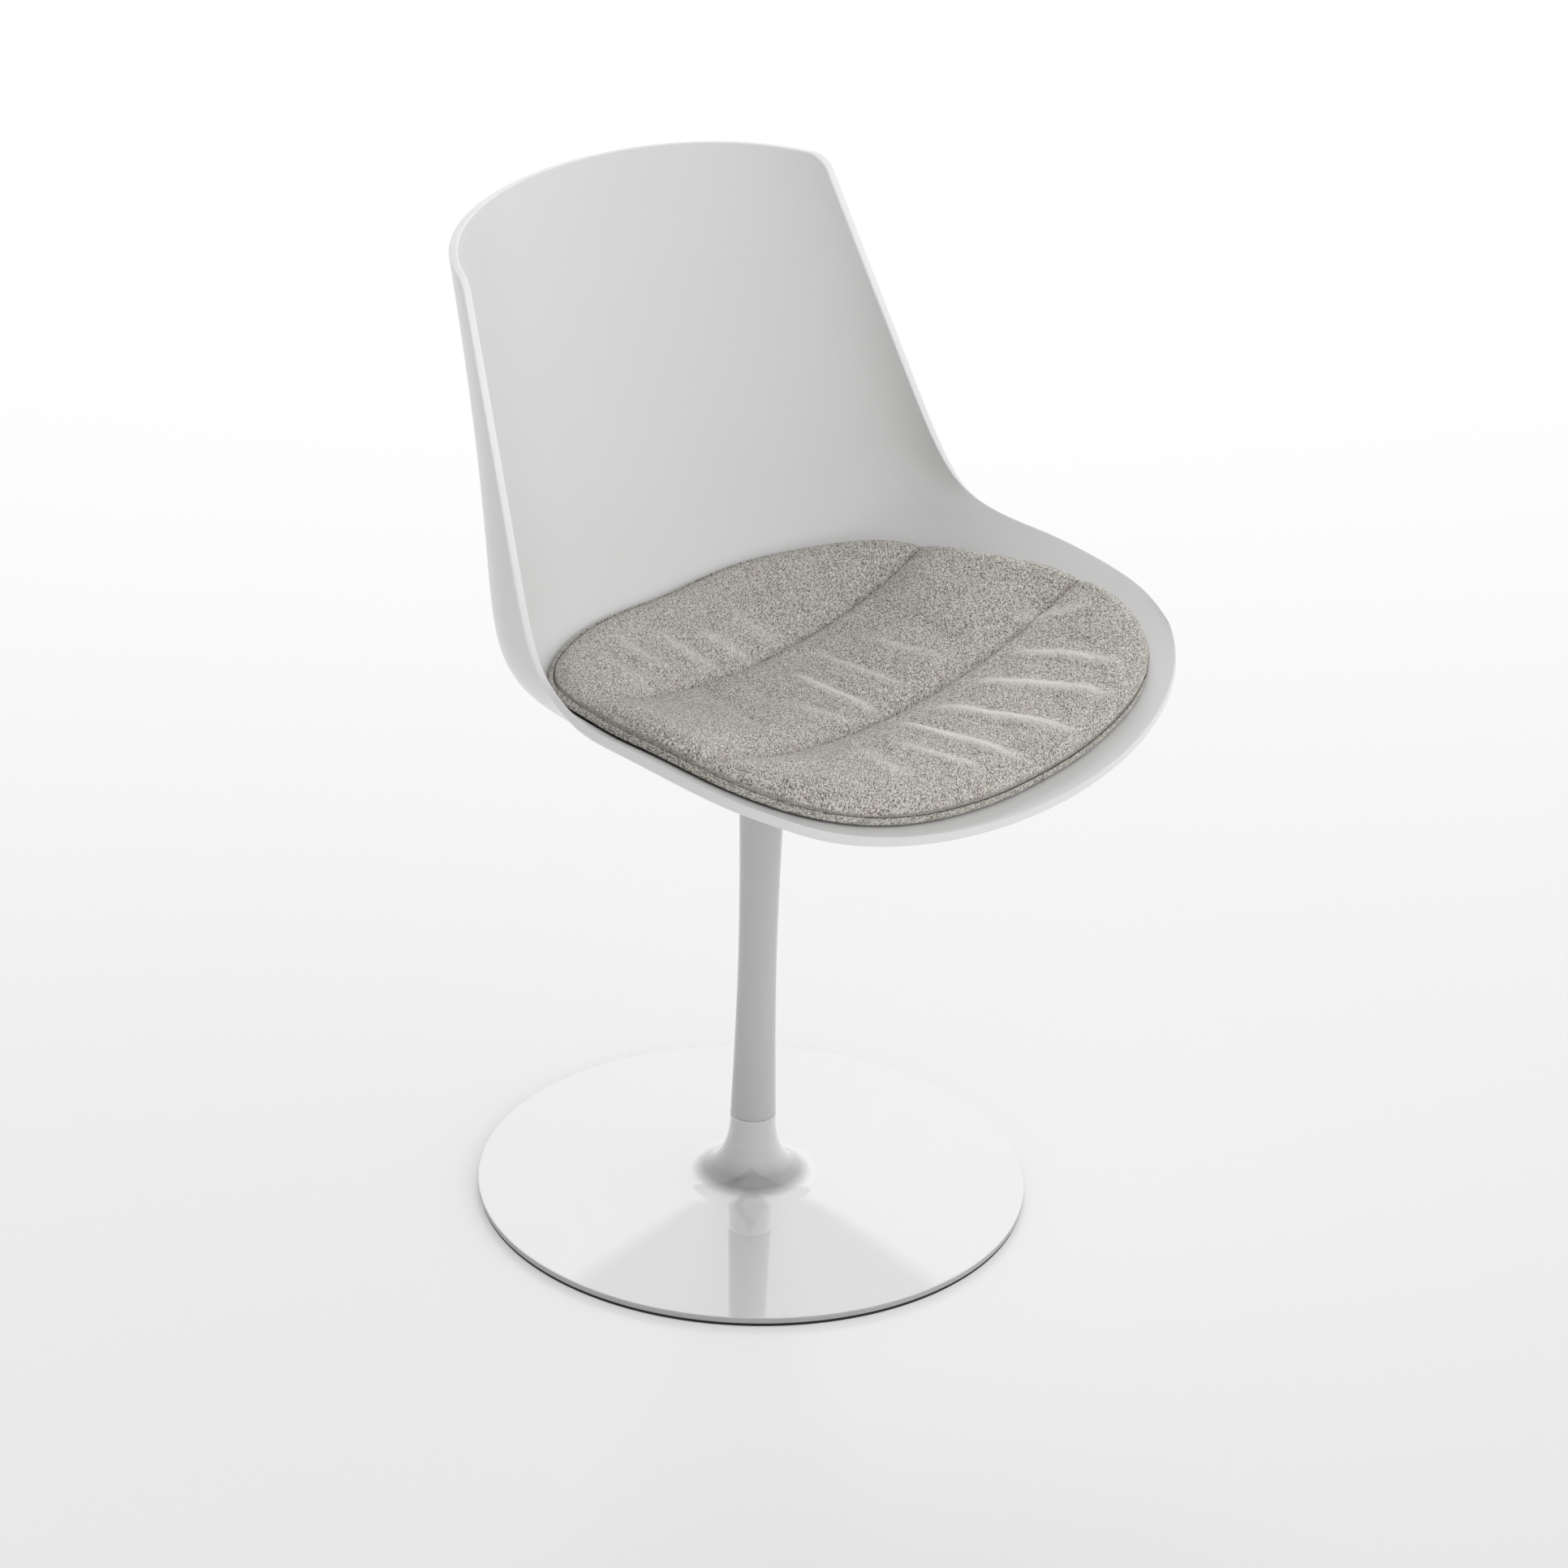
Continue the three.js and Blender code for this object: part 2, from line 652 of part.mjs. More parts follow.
function makeColumnScrews() {
  columnScrewPlaces.forEach(({ x, y }, k) => {
    const body = countersink(columnScrewHeadRadius, columnScrewRadius, columnScrewTop, columnScrewTip);
    const socketLow = columnScrewTop - columnScrewRadius;
    const socket = hexSocket(columnScrewRadius * socketShare, socketLow, columnScrewTop + cutOverrun);
    place(`column_screw_${k + 1}`, at(cut(body, [socket]), x, y), "steel");
  });
}

function makeSeatScrews() {
  const underPlate = seatPlateLow - fitGap;
  const headLow = underPlate - seatScrewHeadHeight;
  const insertLow = footFaceHeight + fitGap;
  seatCorners.forEach(({ x, y, name }) => {
    const profile = [
      [0, headLow],
      [seatScrewHeadRadius * domeShare, headLow],
      [seatScrewHeadRadius, headLow + seatScrewHeadHeight * domeShare],
      [seatScrewHeadRadius, underPlate],
      [seatScrewRadius, underPlate],
      [seatScrewRadius, insertLow + insertLength],
      [0, insertLow + insertLength],
    ];
    const socketTop = headLow + seatScrewHeadHeight * socketShare;
    const socket = hexSocket(seatScrewRadius * socketShare, headLow - cutOverrun, socketTop);
    place(`seat_screw_${name}`, at(cut(turned(profile, smallFacets), [socket]), x, y), "steel");
    const insert = tube(seatScrewRadius + fitGap, insertRadius, insertLow, insertLow + insertLength - fitGap);
    place(`thread_insert_${name}`, at(insert, x, y), "brass");
  });
}

// Swivel: a fixed spindle, two bushes in the column, a thrust washer below and a retainer above
const spindleFootHeight = columnFootHeight - 3 * fitGap - bushFlangeThickness - thrustWasherThickness;
const plateLow = padThickness + fitGap;
const coverUnder = plateLow + baseRimHeight - baseSkin;
const plateHigh = coverUnder - fitGap;
const flangeLow = plateHigh + fitGap;
const flangeHigh = flangeLow + spindleFlangeThickness;
const spindleTop = neckHeight + neckThickness + retainerPlay - fitGap;
const bushOuterRadius = columnBoreRadius - fitGap;
const bushBoreRadius = bushOuterRadius - bushWall;
const spindleScrewPlaces = evenly(0, 3, 3).map((k) => {
  const angle = (k * 90 + 45) * degree;
  return { x: spindleScrewCircle * Math.cos(angle), y: spindleScrewCircle * Math.sin(angle) };
});

function makeSpindle() {
  const profile = [
    [0, flangeLow],
    [spindleFlangeRadius, flangeLow],
    [spindleFlangeRadius, flangeHigh],
    [spindleFootRadius, flangeHigh],
    [spindleFootRadius, spindleFootHeight],
    [spindleRadius, spindleFootHeight],
    [spindleRadius, spindleTop],
    [0, spindleTop],
  ];
  const holes = spindleScrewPlaces.map(({ x, y }) =>
    at(rod(spindleScrewRadius + fitGap, flangeLow - cutOverrun, flangeHigh + cutOverrun), x, y),
  );
  const boreLow = spindleTop - retainerScrewLength - fitGap;
  const bore = rod(retainerScrewRadius + fitGap, boreLow, spindleTop + cutOverrun);
  place("spindle", cut(turned(profile, smallFacets), [...holes, bore]), "steel");
}

function makeSpindleScrews() {
  spindleScrewPlaces.forEach(({ x, y }, k) => {
    const head = plateLow + fitGap;
    const body = countersink(spindleScrewHeadRadius, spindleScrewRadius, head, head + spindleScrewLength);
    const socket = hexSocket(spindleScrewRadius * socketShare, head - cutOverrun, head + spindleScrewRadius);
    place(`spindle_screw_${k + 1}`, at(cut(body, [socket]), x, y), "steel");
  });
}

function makeBearings() {
  const washerLow = spindleFootHeight + fitGap;
  const washerHigh = washerLow + thrustWasherThickness;
  place("thrust_washer", tube(bushBoreRadius, spindleFootRadius - fitGap, washerLow, washerHigh), "brass");
  const flange = washerHigh + fitGap;
  const flangeTop = columnFootHeight - fitGap;
  const bush = [
    [bushBoreRadius, flange],
    [spindleFootRadius, flange],
    [spindleFootRadius, flangeTop],
    [bushOuterRadius, flangeTop],
    [bushOuterRadius, flangeTop + bushLength],
    [bushBoreRadius, flangeTop + bushLength],
    [bushBoreRadius, flange],
  ];
  place("lower_bush", turned(bush, smallFacets), "bush");
  const upperTop = neckHeight - fitGap;
  place("upper_bush", tube(bushBoreRadius, bushOuterRadius, upperTop - upperBushLength, upperTop), "bush");
}

function makeRetainer() {
  const washerLow = spindleTop + fitGap;
  const washerHigh = washerLow + retainerThickness;
  const washer = tube(retainerScrewRadius + fitGap, retainerRadius, washerLow, washerHigh);
  place("retaining_washer", washer, "steel");
  const headLow = washerHigh + fitGap;
  const headHigh = headLow + retainerScrewHeadHeight;
  const profile = [
    [0, spindleTop - retainerScrewLength],
    [retainerScrewRadius, spindleTop - retainerScrewLength],
    [retainerScrewRadius, headLow],
    [retainerScrewHeadRadius, headLow],
    [retainerScrewHeadRadius, headHigh],
    [0, headHigh],
  ];
  const socketLow = headLow + retainerScrewHeadHeight * (1 - socketShare);
  const socket = hexSocket(retainerScrewRadius, socketLow, headHigh + cutOverrun);
  place("retaining_screw", cut(turned(profile, smallFacets), [socket]), "steel");
}

// Base: a lacquered cover with a coved hub over a steel plate, on a thin floor pad
function coveProfile(wall) {
  const centreRadius = hubTopRadius + hubCoveWidth;
  const bend = 2 / hubCovePower;
  return evenly(0, Math.PI / 2, coveSteps).map((angle) => {
    const radius = centreRadius - (hubCoveWidth + wall) * Math.cos(angle) ** bend;
    return [radius, hubTopHeight - (hubCoveHeight + wall) * Math.sin(angle) ** bend];
  });
}

function makeBase() {
  const rimTop = plateLow + baseRimHeight;
  const inner = baseRadius - baseSkin * 2;
  const outerCove = coveProfile(0);
  const innerCove = coveProfile(hubWall).filter(([radius]) => radius > hubBoreRadius);
  const profile = [
    [hubBoreRadius, hubTopHeight],
    [hubBoreRadius, innerCove[0][1]],
    ...innerCove,
    [inner, coverUnder],
    [inner, plateLow],
    [baseRadius - baseRimRound, plateLow],
    [baseRadius, plateLow + baseRimRound],
    [baseRadius, rimTop - baseRimRound],
    [baseRadius - baseRimRound, rimTop],
    ...outerCove.slice().reverse(),
    [hubBoreRadius, hubTopHeight],
  ];
  place("base_cover", turned(profile, baseFacets), "lacquer");
  const holes = spindleScrewPlaces.map(({ x, y }) =>
    at(
      countersink(
        spindleScrewHeadRadius + fitGap + cutOverrun,
        spindleScrewRadius + fitGap,
        plateLow + fitGap - cutOverrun,
        plateHigh + cutOverrun,
      ),
      x,
      y,
    ),
  );
  place("base_plate", cut(rod(inner - fitGap, plateLow, plateHigh, baseFacets), holes), "steel");
  const padRadius = baseRadius - padInset;
  const pad = [
    [0, 0],
    [padRadius - padChamfer, 0],
    [padRadius, padChamfer],
    [padRadius, padThickness],
    [0, padThickness],
  ];
  place("floor_pad", turned(pad, baseFacets), "rubber");
}

makeBase();
makeSpindle();
makeSpindleScrews();
makeBearings();
makeRetainer();
makeColumn();
makeSeatPlate();
makeColumnScrews();
makeSeatScrews();
makeShell();
makeHooks();
makeCushion();
makeBand();

export default chair;
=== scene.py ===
import json
import math

import bmesh
import bpy
import numpy as np
from mathutils import Matrix, Vector


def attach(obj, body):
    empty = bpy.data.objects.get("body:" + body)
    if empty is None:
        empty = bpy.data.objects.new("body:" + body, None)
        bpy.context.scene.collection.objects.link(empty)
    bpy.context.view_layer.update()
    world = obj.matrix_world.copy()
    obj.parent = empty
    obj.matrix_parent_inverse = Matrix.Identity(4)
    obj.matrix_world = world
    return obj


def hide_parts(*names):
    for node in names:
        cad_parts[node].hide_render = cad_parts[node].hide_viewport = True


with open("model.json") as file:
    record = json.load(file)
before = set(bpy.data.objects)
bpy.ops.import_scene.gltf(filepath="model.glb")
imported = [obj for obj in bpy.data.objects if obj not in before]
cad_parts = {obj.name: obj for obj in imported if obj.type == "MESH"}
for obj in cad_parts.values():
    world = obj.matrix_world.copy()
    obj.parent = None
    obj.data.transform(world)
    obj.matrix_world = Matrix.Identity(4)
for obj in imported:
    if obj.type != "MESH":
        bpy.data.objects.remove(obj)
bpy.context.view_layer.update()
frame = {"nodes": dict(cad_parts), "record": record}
mm = 0.001  # everything below is worked out in millimetres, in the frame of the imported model

# camera

camera = {
    "lens": 96.89,
    "azimuth": -53.536,
    "elevation": 24.557,
    "roll": 1.769,
    "distance": 3302.4,
    "sideways": 16.88,
    "height": 358.68,
}


def makeCamera():
    azimuth, elevation, roll = (math.radians(camera[name]) for name in ("azimuth", "elevation", "roll"))
    flat = math.cos(elevation)
    back = Vector((math.sin(azimuth) * flat, -math.cos(azimuth) * flat, math.sin(elevation)))
    level = Vector((math.cos(azimuth), math.sin(azimuth), 0))
    upright = back.cross(level)
    right = level * math.cos(roll) + upright * math.sin(roll)
    up = upright * math.cos(roll) - level * math.sin(roll)
    place = level * camera["sideways"] + Vector((0, 0, camera["height"])) + back * camera["distance"]
    data = bpy.data.cameras.new("camera")
    data.lens = camera["lens"]
    data.sensor_width = 36
    data.clip_end = 200
    holder = addObject("camera", data)
    turn = Matrix((right, up, back)).transposed().to_4x4()
    holder.matrix_world = Matrix.Translation(place * mm) @ turn
    bpy.context.scene.camera = holder


# shader nodes


def addNode(tree, kind, inputs=None, settings=None):
    # an input is a signal or a socket to link, a plain value, or nothing to leave it as it is
    made = tree.nodes.new(kind)
    for key, value in (settings or {}).items():
        setattr(made, key, value)
    for key, value in (inputs or {}).items():
        if isinstance(value, Signal):
            value = value.socket
        if isinstance(value, bpy.types.NodeSocket):
            tree.links.new(value, made.inputs[key])
        elif value is not None:
            made.inputs[key].default_value = value
    return made


def mathNode(operation):
    return lambda signal, other=None: signal.shader.node(
        "ShaderNodeMath", {0: signal, 1: other}, {"operation": operation}
    )


class Signal:
    # a socket that takes part in sums; a plain number is worked out by the Math node that it meets
    def __init__(self, shader, socket):
        self.shader = shader
        self.socket = socket

    __add__ = __radd__ = mathNode("ADD")
    __sub__ = mathNode("SUBTRACT")
    __mul__ = __rmul__ = mathNode("MULTIPLY")
    atLeast = mathNode("MAXIMUM")
    atMost = mathNode("MINIMUM")
    size = mathNode("ABSOLUTE")
    wave = mathNode("SINE")

    def ranged(self, span, start=0.0, end=1.0):
        # start below the span, end above it, and evenly from one to the other within it
        values = {0: self, 1: span[0], 2: span[1], 3: start, 4: end}
        return self.shader.node("ShaderNodeMapRange", values)

    def output(self, name):
        return Signal(self.shader, self.socket.node.outputs[name])


class Shader:
    def __init__(self, owner):
        self.owner = owner if isinstance(owner, bpy.types.World) else bpy.data.materials.new(owner)
        self.owner.use_nodes = True
        self.tree = self.owner.node_tree
        self.tree.nodes.clear()

    def node(self, kind, inputs=None, settings=None, output=0):
        made = addNode(self.tree, kind, inputs, settings)
        return Signal(self, made.outputs[output]) if made.outputs else None

    def place(self, scale=(1, 1, 1)):
        start = self.node("ShaderNodeTexCoord", output="Object")
        return self.node("ShaderNodeMapping", {"Vector": start, "Scale": scale})

    def noise(self, vector, scale, detail=2.0, roughness=0.5, distortion=0.0):
        values = {"Vector": vector, "Scale": scale, "Detail": detail}
        values.update({"Roughness": roughness, "Distortion": distortion})
        return self.node("ShaderNodeTexNoise", values)

    def mixColour(self, factor, first, second, blend="MIX"):
        settings = {"data_type": "RGBA", "blend_type": blend}
        return self.node("ShaderNodeMix", {"Factor": factor, 6: first, 7: second}, settings, 2)

    def mottled(self, cloud, tone, spread):
        return self.mixColour(cloud, grey(tone - spread), grey(tone + spread))

    def parts(self, vector):
        split = self.node("ShaderNodeSeparateXYZ", {0: vector})
        return [Signal(self, socket) for socket in split.socket.node.outputs]

    def rays(self):
        # whether the camera looks straight here, and whether it looks by way of gloss or glass
        path = self.node("ShaderNodeLightPath")
        bent = path.output("Is Glossy Ray").atLeast(path.output("Is Transmission Ray"))
        return path.output("Is Camera Ray"), bent

    def attribute(self, name):
        return self.node("ShaderNodeAttribute", {}, {"attribute_name": name}).output("Fac")

    def ramp(self, factor, stops):
        made = self.node("ShaderNodeValToRGB", {"Fac": factor})
        elements = made.socket.node.color_ramp.elements
        while len(elements) < len(stops):
            elements.new(1)
        for element, (place, colour) in zip(elements, stops):
            element.position = place
            element.color = colour
        return made

    def bump(self, height, distance, strength=1.0, under=None):
        values = {"Height": height, "Distance": distance, "Strength": strength, "Normal": under}
        return self.node("ShaderNodeBump", values)

    def finish(self, colour, rough, normal, **others):
        inputs = {"Base Color": colour, "Roughness": rough, "Normal": normal}
        inputs.update({key.replace("_", " "): value for key, value in others.items()})
        surface = self.node("ShaderNodeBsdfPrincipled", inputs)
        self.node("ShaderNodeOutputMaterial", {"Surface": surface})
        return self.owner


def grey(value):
    return (value, value, value, 1.0)


shellFinish = {
    "colour": 0.738,
    "mottle": 0.012,
    "roughness": 0.33,
    "peel": 0.00003,
    "edge": 0.88,  # tone of the painted highlight along the rim's edge
}


def makeShellFinish():
    # satin moulding: a faintly uneven tone, fine orange peel, and an edge that is glossier and carries a
    # painted highlight in a paler tone
    shader = Shader("shell_satin")
    place = shader.place()
    cloud = shader.noise(place, 9, 3)
    colour = shader.mottled(cloud, shellFinish["colour"], shellFinish["mottle"])
    edge = shader.attribute("edge")
    # painted highlight: the rim's edge strip is mixed towards a paler tone
    colour = shader.mixColour(edge, colour, grey(shellFinish["edge"]))
    peel = shader.noise(place, 420, 2, 0.55)
    rough = shellFinish["roughness"] + (shader.noise(place, 38, 3) - 0.5) * 0.08 - edge * 0.12
    normal = shader.bump(peel, shellFinish["peel"], 0.5)
    return shader.finish(colour, rough, normal, Coat_Weight=0.2 + edge * 0.8, Coat_Roughness=0.22)


lacquerFinish = {
    "colour": 0.88,
    "mottle": 0.008,
    "hub": 0.57,  # tone of the hub's upper part, and of the flare round its foot: painted shade and painted reflection of the shell above
    "flare": 0.35,
    "flareShadeSpan": (0.0006, 0.0011),  # squares of the radii, in metres, over which the tone changes
    "plateSpan": (0.0015, 0.0024),
    "roughness": 0.022,
    "metal": 0.42,
    "coatRoughness": 0.02,
    "coatIndex": 1.8,
    "peel": 0.000002,
    "sway": 0.00002,
}


def makeLacquerFinish():
    # a glossy clear coat over white, with the slow waviness of a sprayed plate; the hub and its flare are
    # painted greyer, as shade and reflection of the shell above
    shader = Shader("gloss_lacquer")
    place = shader.place()
    colour = shader.mottled(shader.noise(place, 6, 2), lacquerFinish["colour"], lacquerFinish["mottle"])
    x, y, _ = shader.parts(place)
    away = x * x + y * y
    flareShadeShare = away.ranged(lacquerFinish["flareShadeSpan"])
    onPlate = away.ranged(lacquerFinish["plateSpan"])
    # painted shade and painted reflection: grey near the axis, darker on the flare, white out on the plate
    hub = shader.mixColour(flareShadeShare, grey(lacquerFinish["hub"]), grey(lacquerFinish["flare"]))
    colour = shader.mixColour(onPlate, hub, colour)
    sway = shader.bump(shader.noise(place, 14, 1), lacquerFinish["sway"], 0.35)
    peel = shader.bump(shader.noise(place, 240, 1), lacquerFinish["peel"], 0.5, sway)
    rough = lacquerFinish["roughness"] + shader.noise(place, 60, 3) * 0.01
    return shader.finish(
        colour,
        rough,
        peel,
        Metallic=onPlate * lacquerFinish["metal"],
        Coat_Weight=1.0,
        Coat_IOR=lacquerFinish["coatIndex"],
        Coat_Roughness=lacquerFinish["coatRoughness"],
    )


columnFinish = {"colour": 0.49, "roughness": 0.24}
# painted shade: the base's edge band is a darker satin that stands in for the shade on the rim
rimShadeFinish = {"colour": 0.43, "roughness": 0.36}


def makeSatinFinish(name, values):
    # satin powder coat, with a slightly finer grain than the shell
    shader = Shader(name)
    place = shader.place()
    colour = shader.mottled(shader.noise(place, 12, 2), values["colour"], 0.01)
    grain = shader.noise(place, 900, 2, 0.6)
    rough = values["roughness"] + (grain - 0.5) * 0.06
    normal = shader.bump(grain, 0.00003, 0.5)
    return shader.finish(colour, rough, normal, Coat_Weight=0.25, Coat_Roughness=0.15)


# the smaller parts: a cloud picks between two colours, or the grain does where none is given; the grain
# also roughens and dents the surface, and stretch draws it out into turned lines
plainFinishes = {
    "zinc_steel": {
        "colours": ((0.46, 0.47, 0.48, 1), (0.60, 0.61, 0.61, 1)),
        "cloud": (60, 3),
        "grain": (700, 3, 0.6),
        "stretch": 6,
        "roughness": (0.26, 0.2),
        "bump": (0.00003, 0.6),
        "metal": 1.0,
    },
    "turned_brass": {
        "colours": ((0.50, 0.34, 0.12, 1), (0.68, 0.50, 0.22, 1)),
        "grain": (800, 2, 0.6),
        "stretch": 5,
        "roughness": (0.28, 0.15),
        "bump": (0.00003, 0.6),
        "metal": 1.0,
    },
    "dark_acetal": {
        "colours": (grey(0.035), grey(0.055)),
        "grain": (500, 3, 0.6),
        "roughness": (0.42, 0.15),
        "bump": (0.00004, 0.5),
    },
    "floor_rubber": {
        "colours": (grey(0.016), grey(0.034)),
        "cloud": (24, 4),
        "grain": (650, 4, 0.65),
        "roughness": (0.78, 0.15),
        "bump": (0.00012, 0.7),
    },
}


def makePlainFinish(name):
    values = plainFinishes[name]
    shader = Shader(name)
    grain = shader.noise(shader.place((1, 1, values.get("stretch", 1))), *values["grain"])
    cloud = shader.noise(shader.place(), *values["cloud"]) if "cloud" in values else grain
    colour = shader.mixColour(cloud, *values["colours"])
    smoothest, spread = values["roughness"]
    normal = shader.bump(grain, *values["bump"])
    return shader.finish(colour, smoothest + grain * spread, normal, Metallic=values.get("metal", 0.0))


def makeHookFinish():
    # woven tape and base cloth: a fine square grid of yarns
    shader = Shader("hook_tape")
    x, y, _ = shader.parts(shader.place((2400, 2400, 2400)))
    weave = (x.wave() * y.wave()) * 0.5 + 0.5
    colour = shader.mixColour(weave, (0.42, 0.40, 0.37, 1), (0.66, 0.64, 0.60, 1))
    return shader.finish(colour, 0.92, shader.bump(weave, 0.0003, 0.8))


clothFinish = {
    "grain": 570,
    "bias": 0.637,  # direction of the grain in the cloth, and how much longer than wide a grain is
    "stretch": 1.45,
    "sway": 0.0022,
    "light": (0.88, 0.865, 0.822, 1),
    "middle": (0.605, 0.585, 0.535, 1),
    "dark": (0.15, 0.125, 0.098, 1),
    "stops": (0.16, 0.45, 0.84),  # heights of the dark, middle and light tones
    "warm": (0.56, 0.44, 0.38, 1),
    "warmShare": 0.30,
    # how far the painted highlight lifts the ridge tops to the light tone
    "crestHighlightShare": 1.0,
    "depth": 0.0008,
}


def makeClothFinish(name, uv):
    # crepe: curled yarn ends are pale grains with dark gaps, some of them warm; the ridge tops carry a
    # painted highlight
    shader = Shader(name)
    grain = clothFinish["grain"]
    flat = shader.node("ShaderNodeUVMap", {}, {"uv_map": uv})
    lie = {"Vector": flat, "Rotation": (0, 0, clothFinish["bias"]), "Scale": (clothFinish["stretch"], 1, 1)}
    laid = shader.node("ShaderNodeMapping", lie, {"vector_type": "TEXTURE"})
    sway = shader.noise(laid, 260, 2).output("Color")
    laid = shader.mixColour(clothFinish["sway"], laid, sway, "ADD")
    values = {"Vector": laid, "Scale": grain, "Randomness": 0.9}
    level = {"voronoi_dimensions": "2D"}
    cells = shader.node("ShaderNodeTexVoronoi", values, level)
    edges = shader.node("ShaderNodeTexVoronoi", values, {**level, "feature": "DISTANCE_TO_EDGE"})
    tint, warmth, _ = shader.parts(cells.output("Color"))
    mound = (edges * 2.8).atMost(1.0)
    lump = shader.noise(laid, grain * 1.3, 1, 0.5, 0.5)
    lump = ((lump - 0.5) * 3.6 + 0.5).atLeast(0.0).atMost(1.0)
    fuzz = shader.noise(flat, 2400, 2, 0.6)
    patch = shader.noise(flat, 26, 3, 0.55)
    height = mound * 0.38 + lump * 0.62
    tone = height * 0.72 + tint * 0.18 + (fuzz - 0.5) * 0.3 + (patch - 0.5) * 0.12
    colours = [clothFinish[shade] for shade in ("dark", "middle", "light")]
    colour = shader.ramp(tone, list(zip(clothFinish["stops"], colours)))
    warm = (warmth * 2.2 - 1.4).atLeast(0.0) * (clothFinish["warmShare"] * 1.3)
    colour = shader.mixColour(warm, colour, clothFinish["warm"])
    # painted highlight: the ridge tops are mixed towards the light tone
    crestHighlight = shader.attribute("crestHighlight")
    colour = shader.mixColour(crestHighlight * clothFinish["crestHighlightShare"], colour, clothFinish["light"])
    normal = shader.bump(height + fuzz * 0.25, clothFinish["depth"], 0.9)
    return shader.finish(colour, 0.92, normal, Sheen_Weight=0.12, Sheen_Roughness=0.5)


threadFinish = {"dark": (0.16, 0.14, 0.115, 1), "light": (0.27, 0.25, 0.21, 1), "twist": 2600}


def makeThreadFinish():
    shader = Shader("thread")
    twist = shader.noise(shader.place(), threadFinish["twist"], 2)
    colour = shader.mixColour(twist, threadFinish["dark"], threadFinish["light"])
    return shader.finish(colour, 0.8, shader.bump(twist, 0.0001, 0.6))


studio = {
    "away": (0.804, 0.594),  # level direction from the camera into the picture
    "right": (0.594, -0.804),  # level direction towards the picture's right
    "level": 1.74,
    "fromBehind": 0.08,
    "fromRight": 0.48,
    "fromSides": -0.41,
    "fromEnds": -0.35,
    "fromAbove": -1.24,
    "least": 0.05,
    "roomTurn": (-0.25, 0.3),  # the share of a direction along away over which gloss goes from near to far
    "wallNear": 0.7,  # how bright gloss sees the room in front, and the ceiling behind and in front
    "ceilingBehind": 0.76,
    "ceilingNear": 0.2,
    "ceilingStart": 0.5097,
    "ceilingRise": 0.61,
    "ceilingBlur": 0.004,
    "floorTone": 0.965,
    "floorMottle": 0.004,
    "floorReach": (-1.0, 2.8),  # metres away over which the camera sees the floor brighten
    "floorNear": 0.10,
    "floorFar": 0.95,
    "floorTurn": (-0.5, 0.5),  # metres away over which gloss sees the floor brighten
    "floorGloss": 0.6,
    "floorSize": 60.0,
    "lamp": {"place": (2.9, 2.1, 2.6), "size": 1.6, "watts": 60, "aim": (0, 0, 0.45)},
}


def levelAlong(direction, x, y):
    return x * studio[direction][0] + y * studio[direction][1]


def makeStudio():
    # soft light from all round, strongest near the horizon, as in a white cove; the camera sees white
    scene = bpy.context.scene
    scene.view_settings.view_transform = "Standard"
    scene.world = bpy.data.worlds.new("studio")
    shader = Shader(scene.world)
    x, y, z = shader.parts(shader.node("ShaderNodeTexCoord"))
    behind = levelAlong("away", x, y)
    aside = levelAlong("right", x, y)
    strength = studio["level"] + aside * studio["fromRight"] + z * studio["fromAbove"]
    strength = strength + behind * studio["fromBehind"]
    strength = strength + aside * aside * studio["fromSides"] + behind * behind * studio["fromEnds"]
    strength = strength.atLeast(studio["least"])
    soft = shader.node("ShaderNodeBackground", {"Color": grey(1), "Strength": strength})
    # gloss sees a white wall behind, a dimmer room in front, and a darker ceiling that rises to both sides
    ceiling = behind.ranged(studio["roomTurn"], studio["ceilingNear"], studio["ceilingBehind"])
    wall = behind.ranged(studio["roomTurn"], studio["wallNear"], 1.0)
    over = z - aside.size() * studio["ceilingRise"]
    start, blur = studio["ceilingStart"], studio["ceilingBlur"]
    under = over.ranged((start - blur, start + blur), 1.0, 0.0)
    direct, bent = shader.rays()
    shown = (ceiling + (wall - ceiling) * under).atLeast(direct)
    white = shader.node("ShaderNodeBackground", {"Color": grey(1), "Strength": shown})
    mix = shader.node("ShaderNodeMixShader", {0: direct.atLeast(bent), 1: soft, 2: white})
    shader.node("ShaderNodeOutputWorld", {"Surface": mix})
    data = bpy.data.lights.new("key", "AREA")
    data.shape = "DISK"
    data.size = studio["lamp"]["size"]
    data.energy = studio["lamp"]["watts"]
    lamp = addObject("key", data)
    lamp.location = studio["lamp"]["place"]
    lamp.visible_glossy = False  # gloss shows the room, not the lamp
    aim = Vector(studio["lamp"]["aim"]) - Vector(studio["lamp"]["place"])
    lamp.rotation_euler = aim.to_track_quat("-Z", "Y").to_euler()


def makeFloorFinish():
    # pale paint that the camera sees brighter, more so far away, so that it runs into the white behind
    shader = Shader("floor_paint")
    place = shader.place()
    x, y, _ = shader.parts(place)
    colour = shader.mottled(shader.noise(place, 0.8, 2), studio["floorTone"], studio["floorMottle"])
    paint = shader.node("ShaderNodeBsdfDiffuse", {"Color": colour, "Roughness": 0.5})
    depth = levelAlong("away", x, y)
    reach = depth.ranged(studio["floorReach"])
    lift = studio["floorNear"] + reach * (studio["floorFar"] - studio["floorNear"])
    direct, bent = shader.rays()
    dim = depth.ranged(studio["floorTurn"], studio["wallNear"], 1.0)
    glow = shader.node("ShaderNodeEmission", {"Color": grey(1), "Strength": dim.atLeast(direct)})
    share = (direct * lift).atLeast(bent * studio["floorGloss"])
    mix = shader.node("ShaderNodeMixShader", {0: share, 1: paint, 2: glow})
    shader.node("ShaderNodeOutputMaterial", {"Surface": mix})
    return shader.owner


# mesh helpers


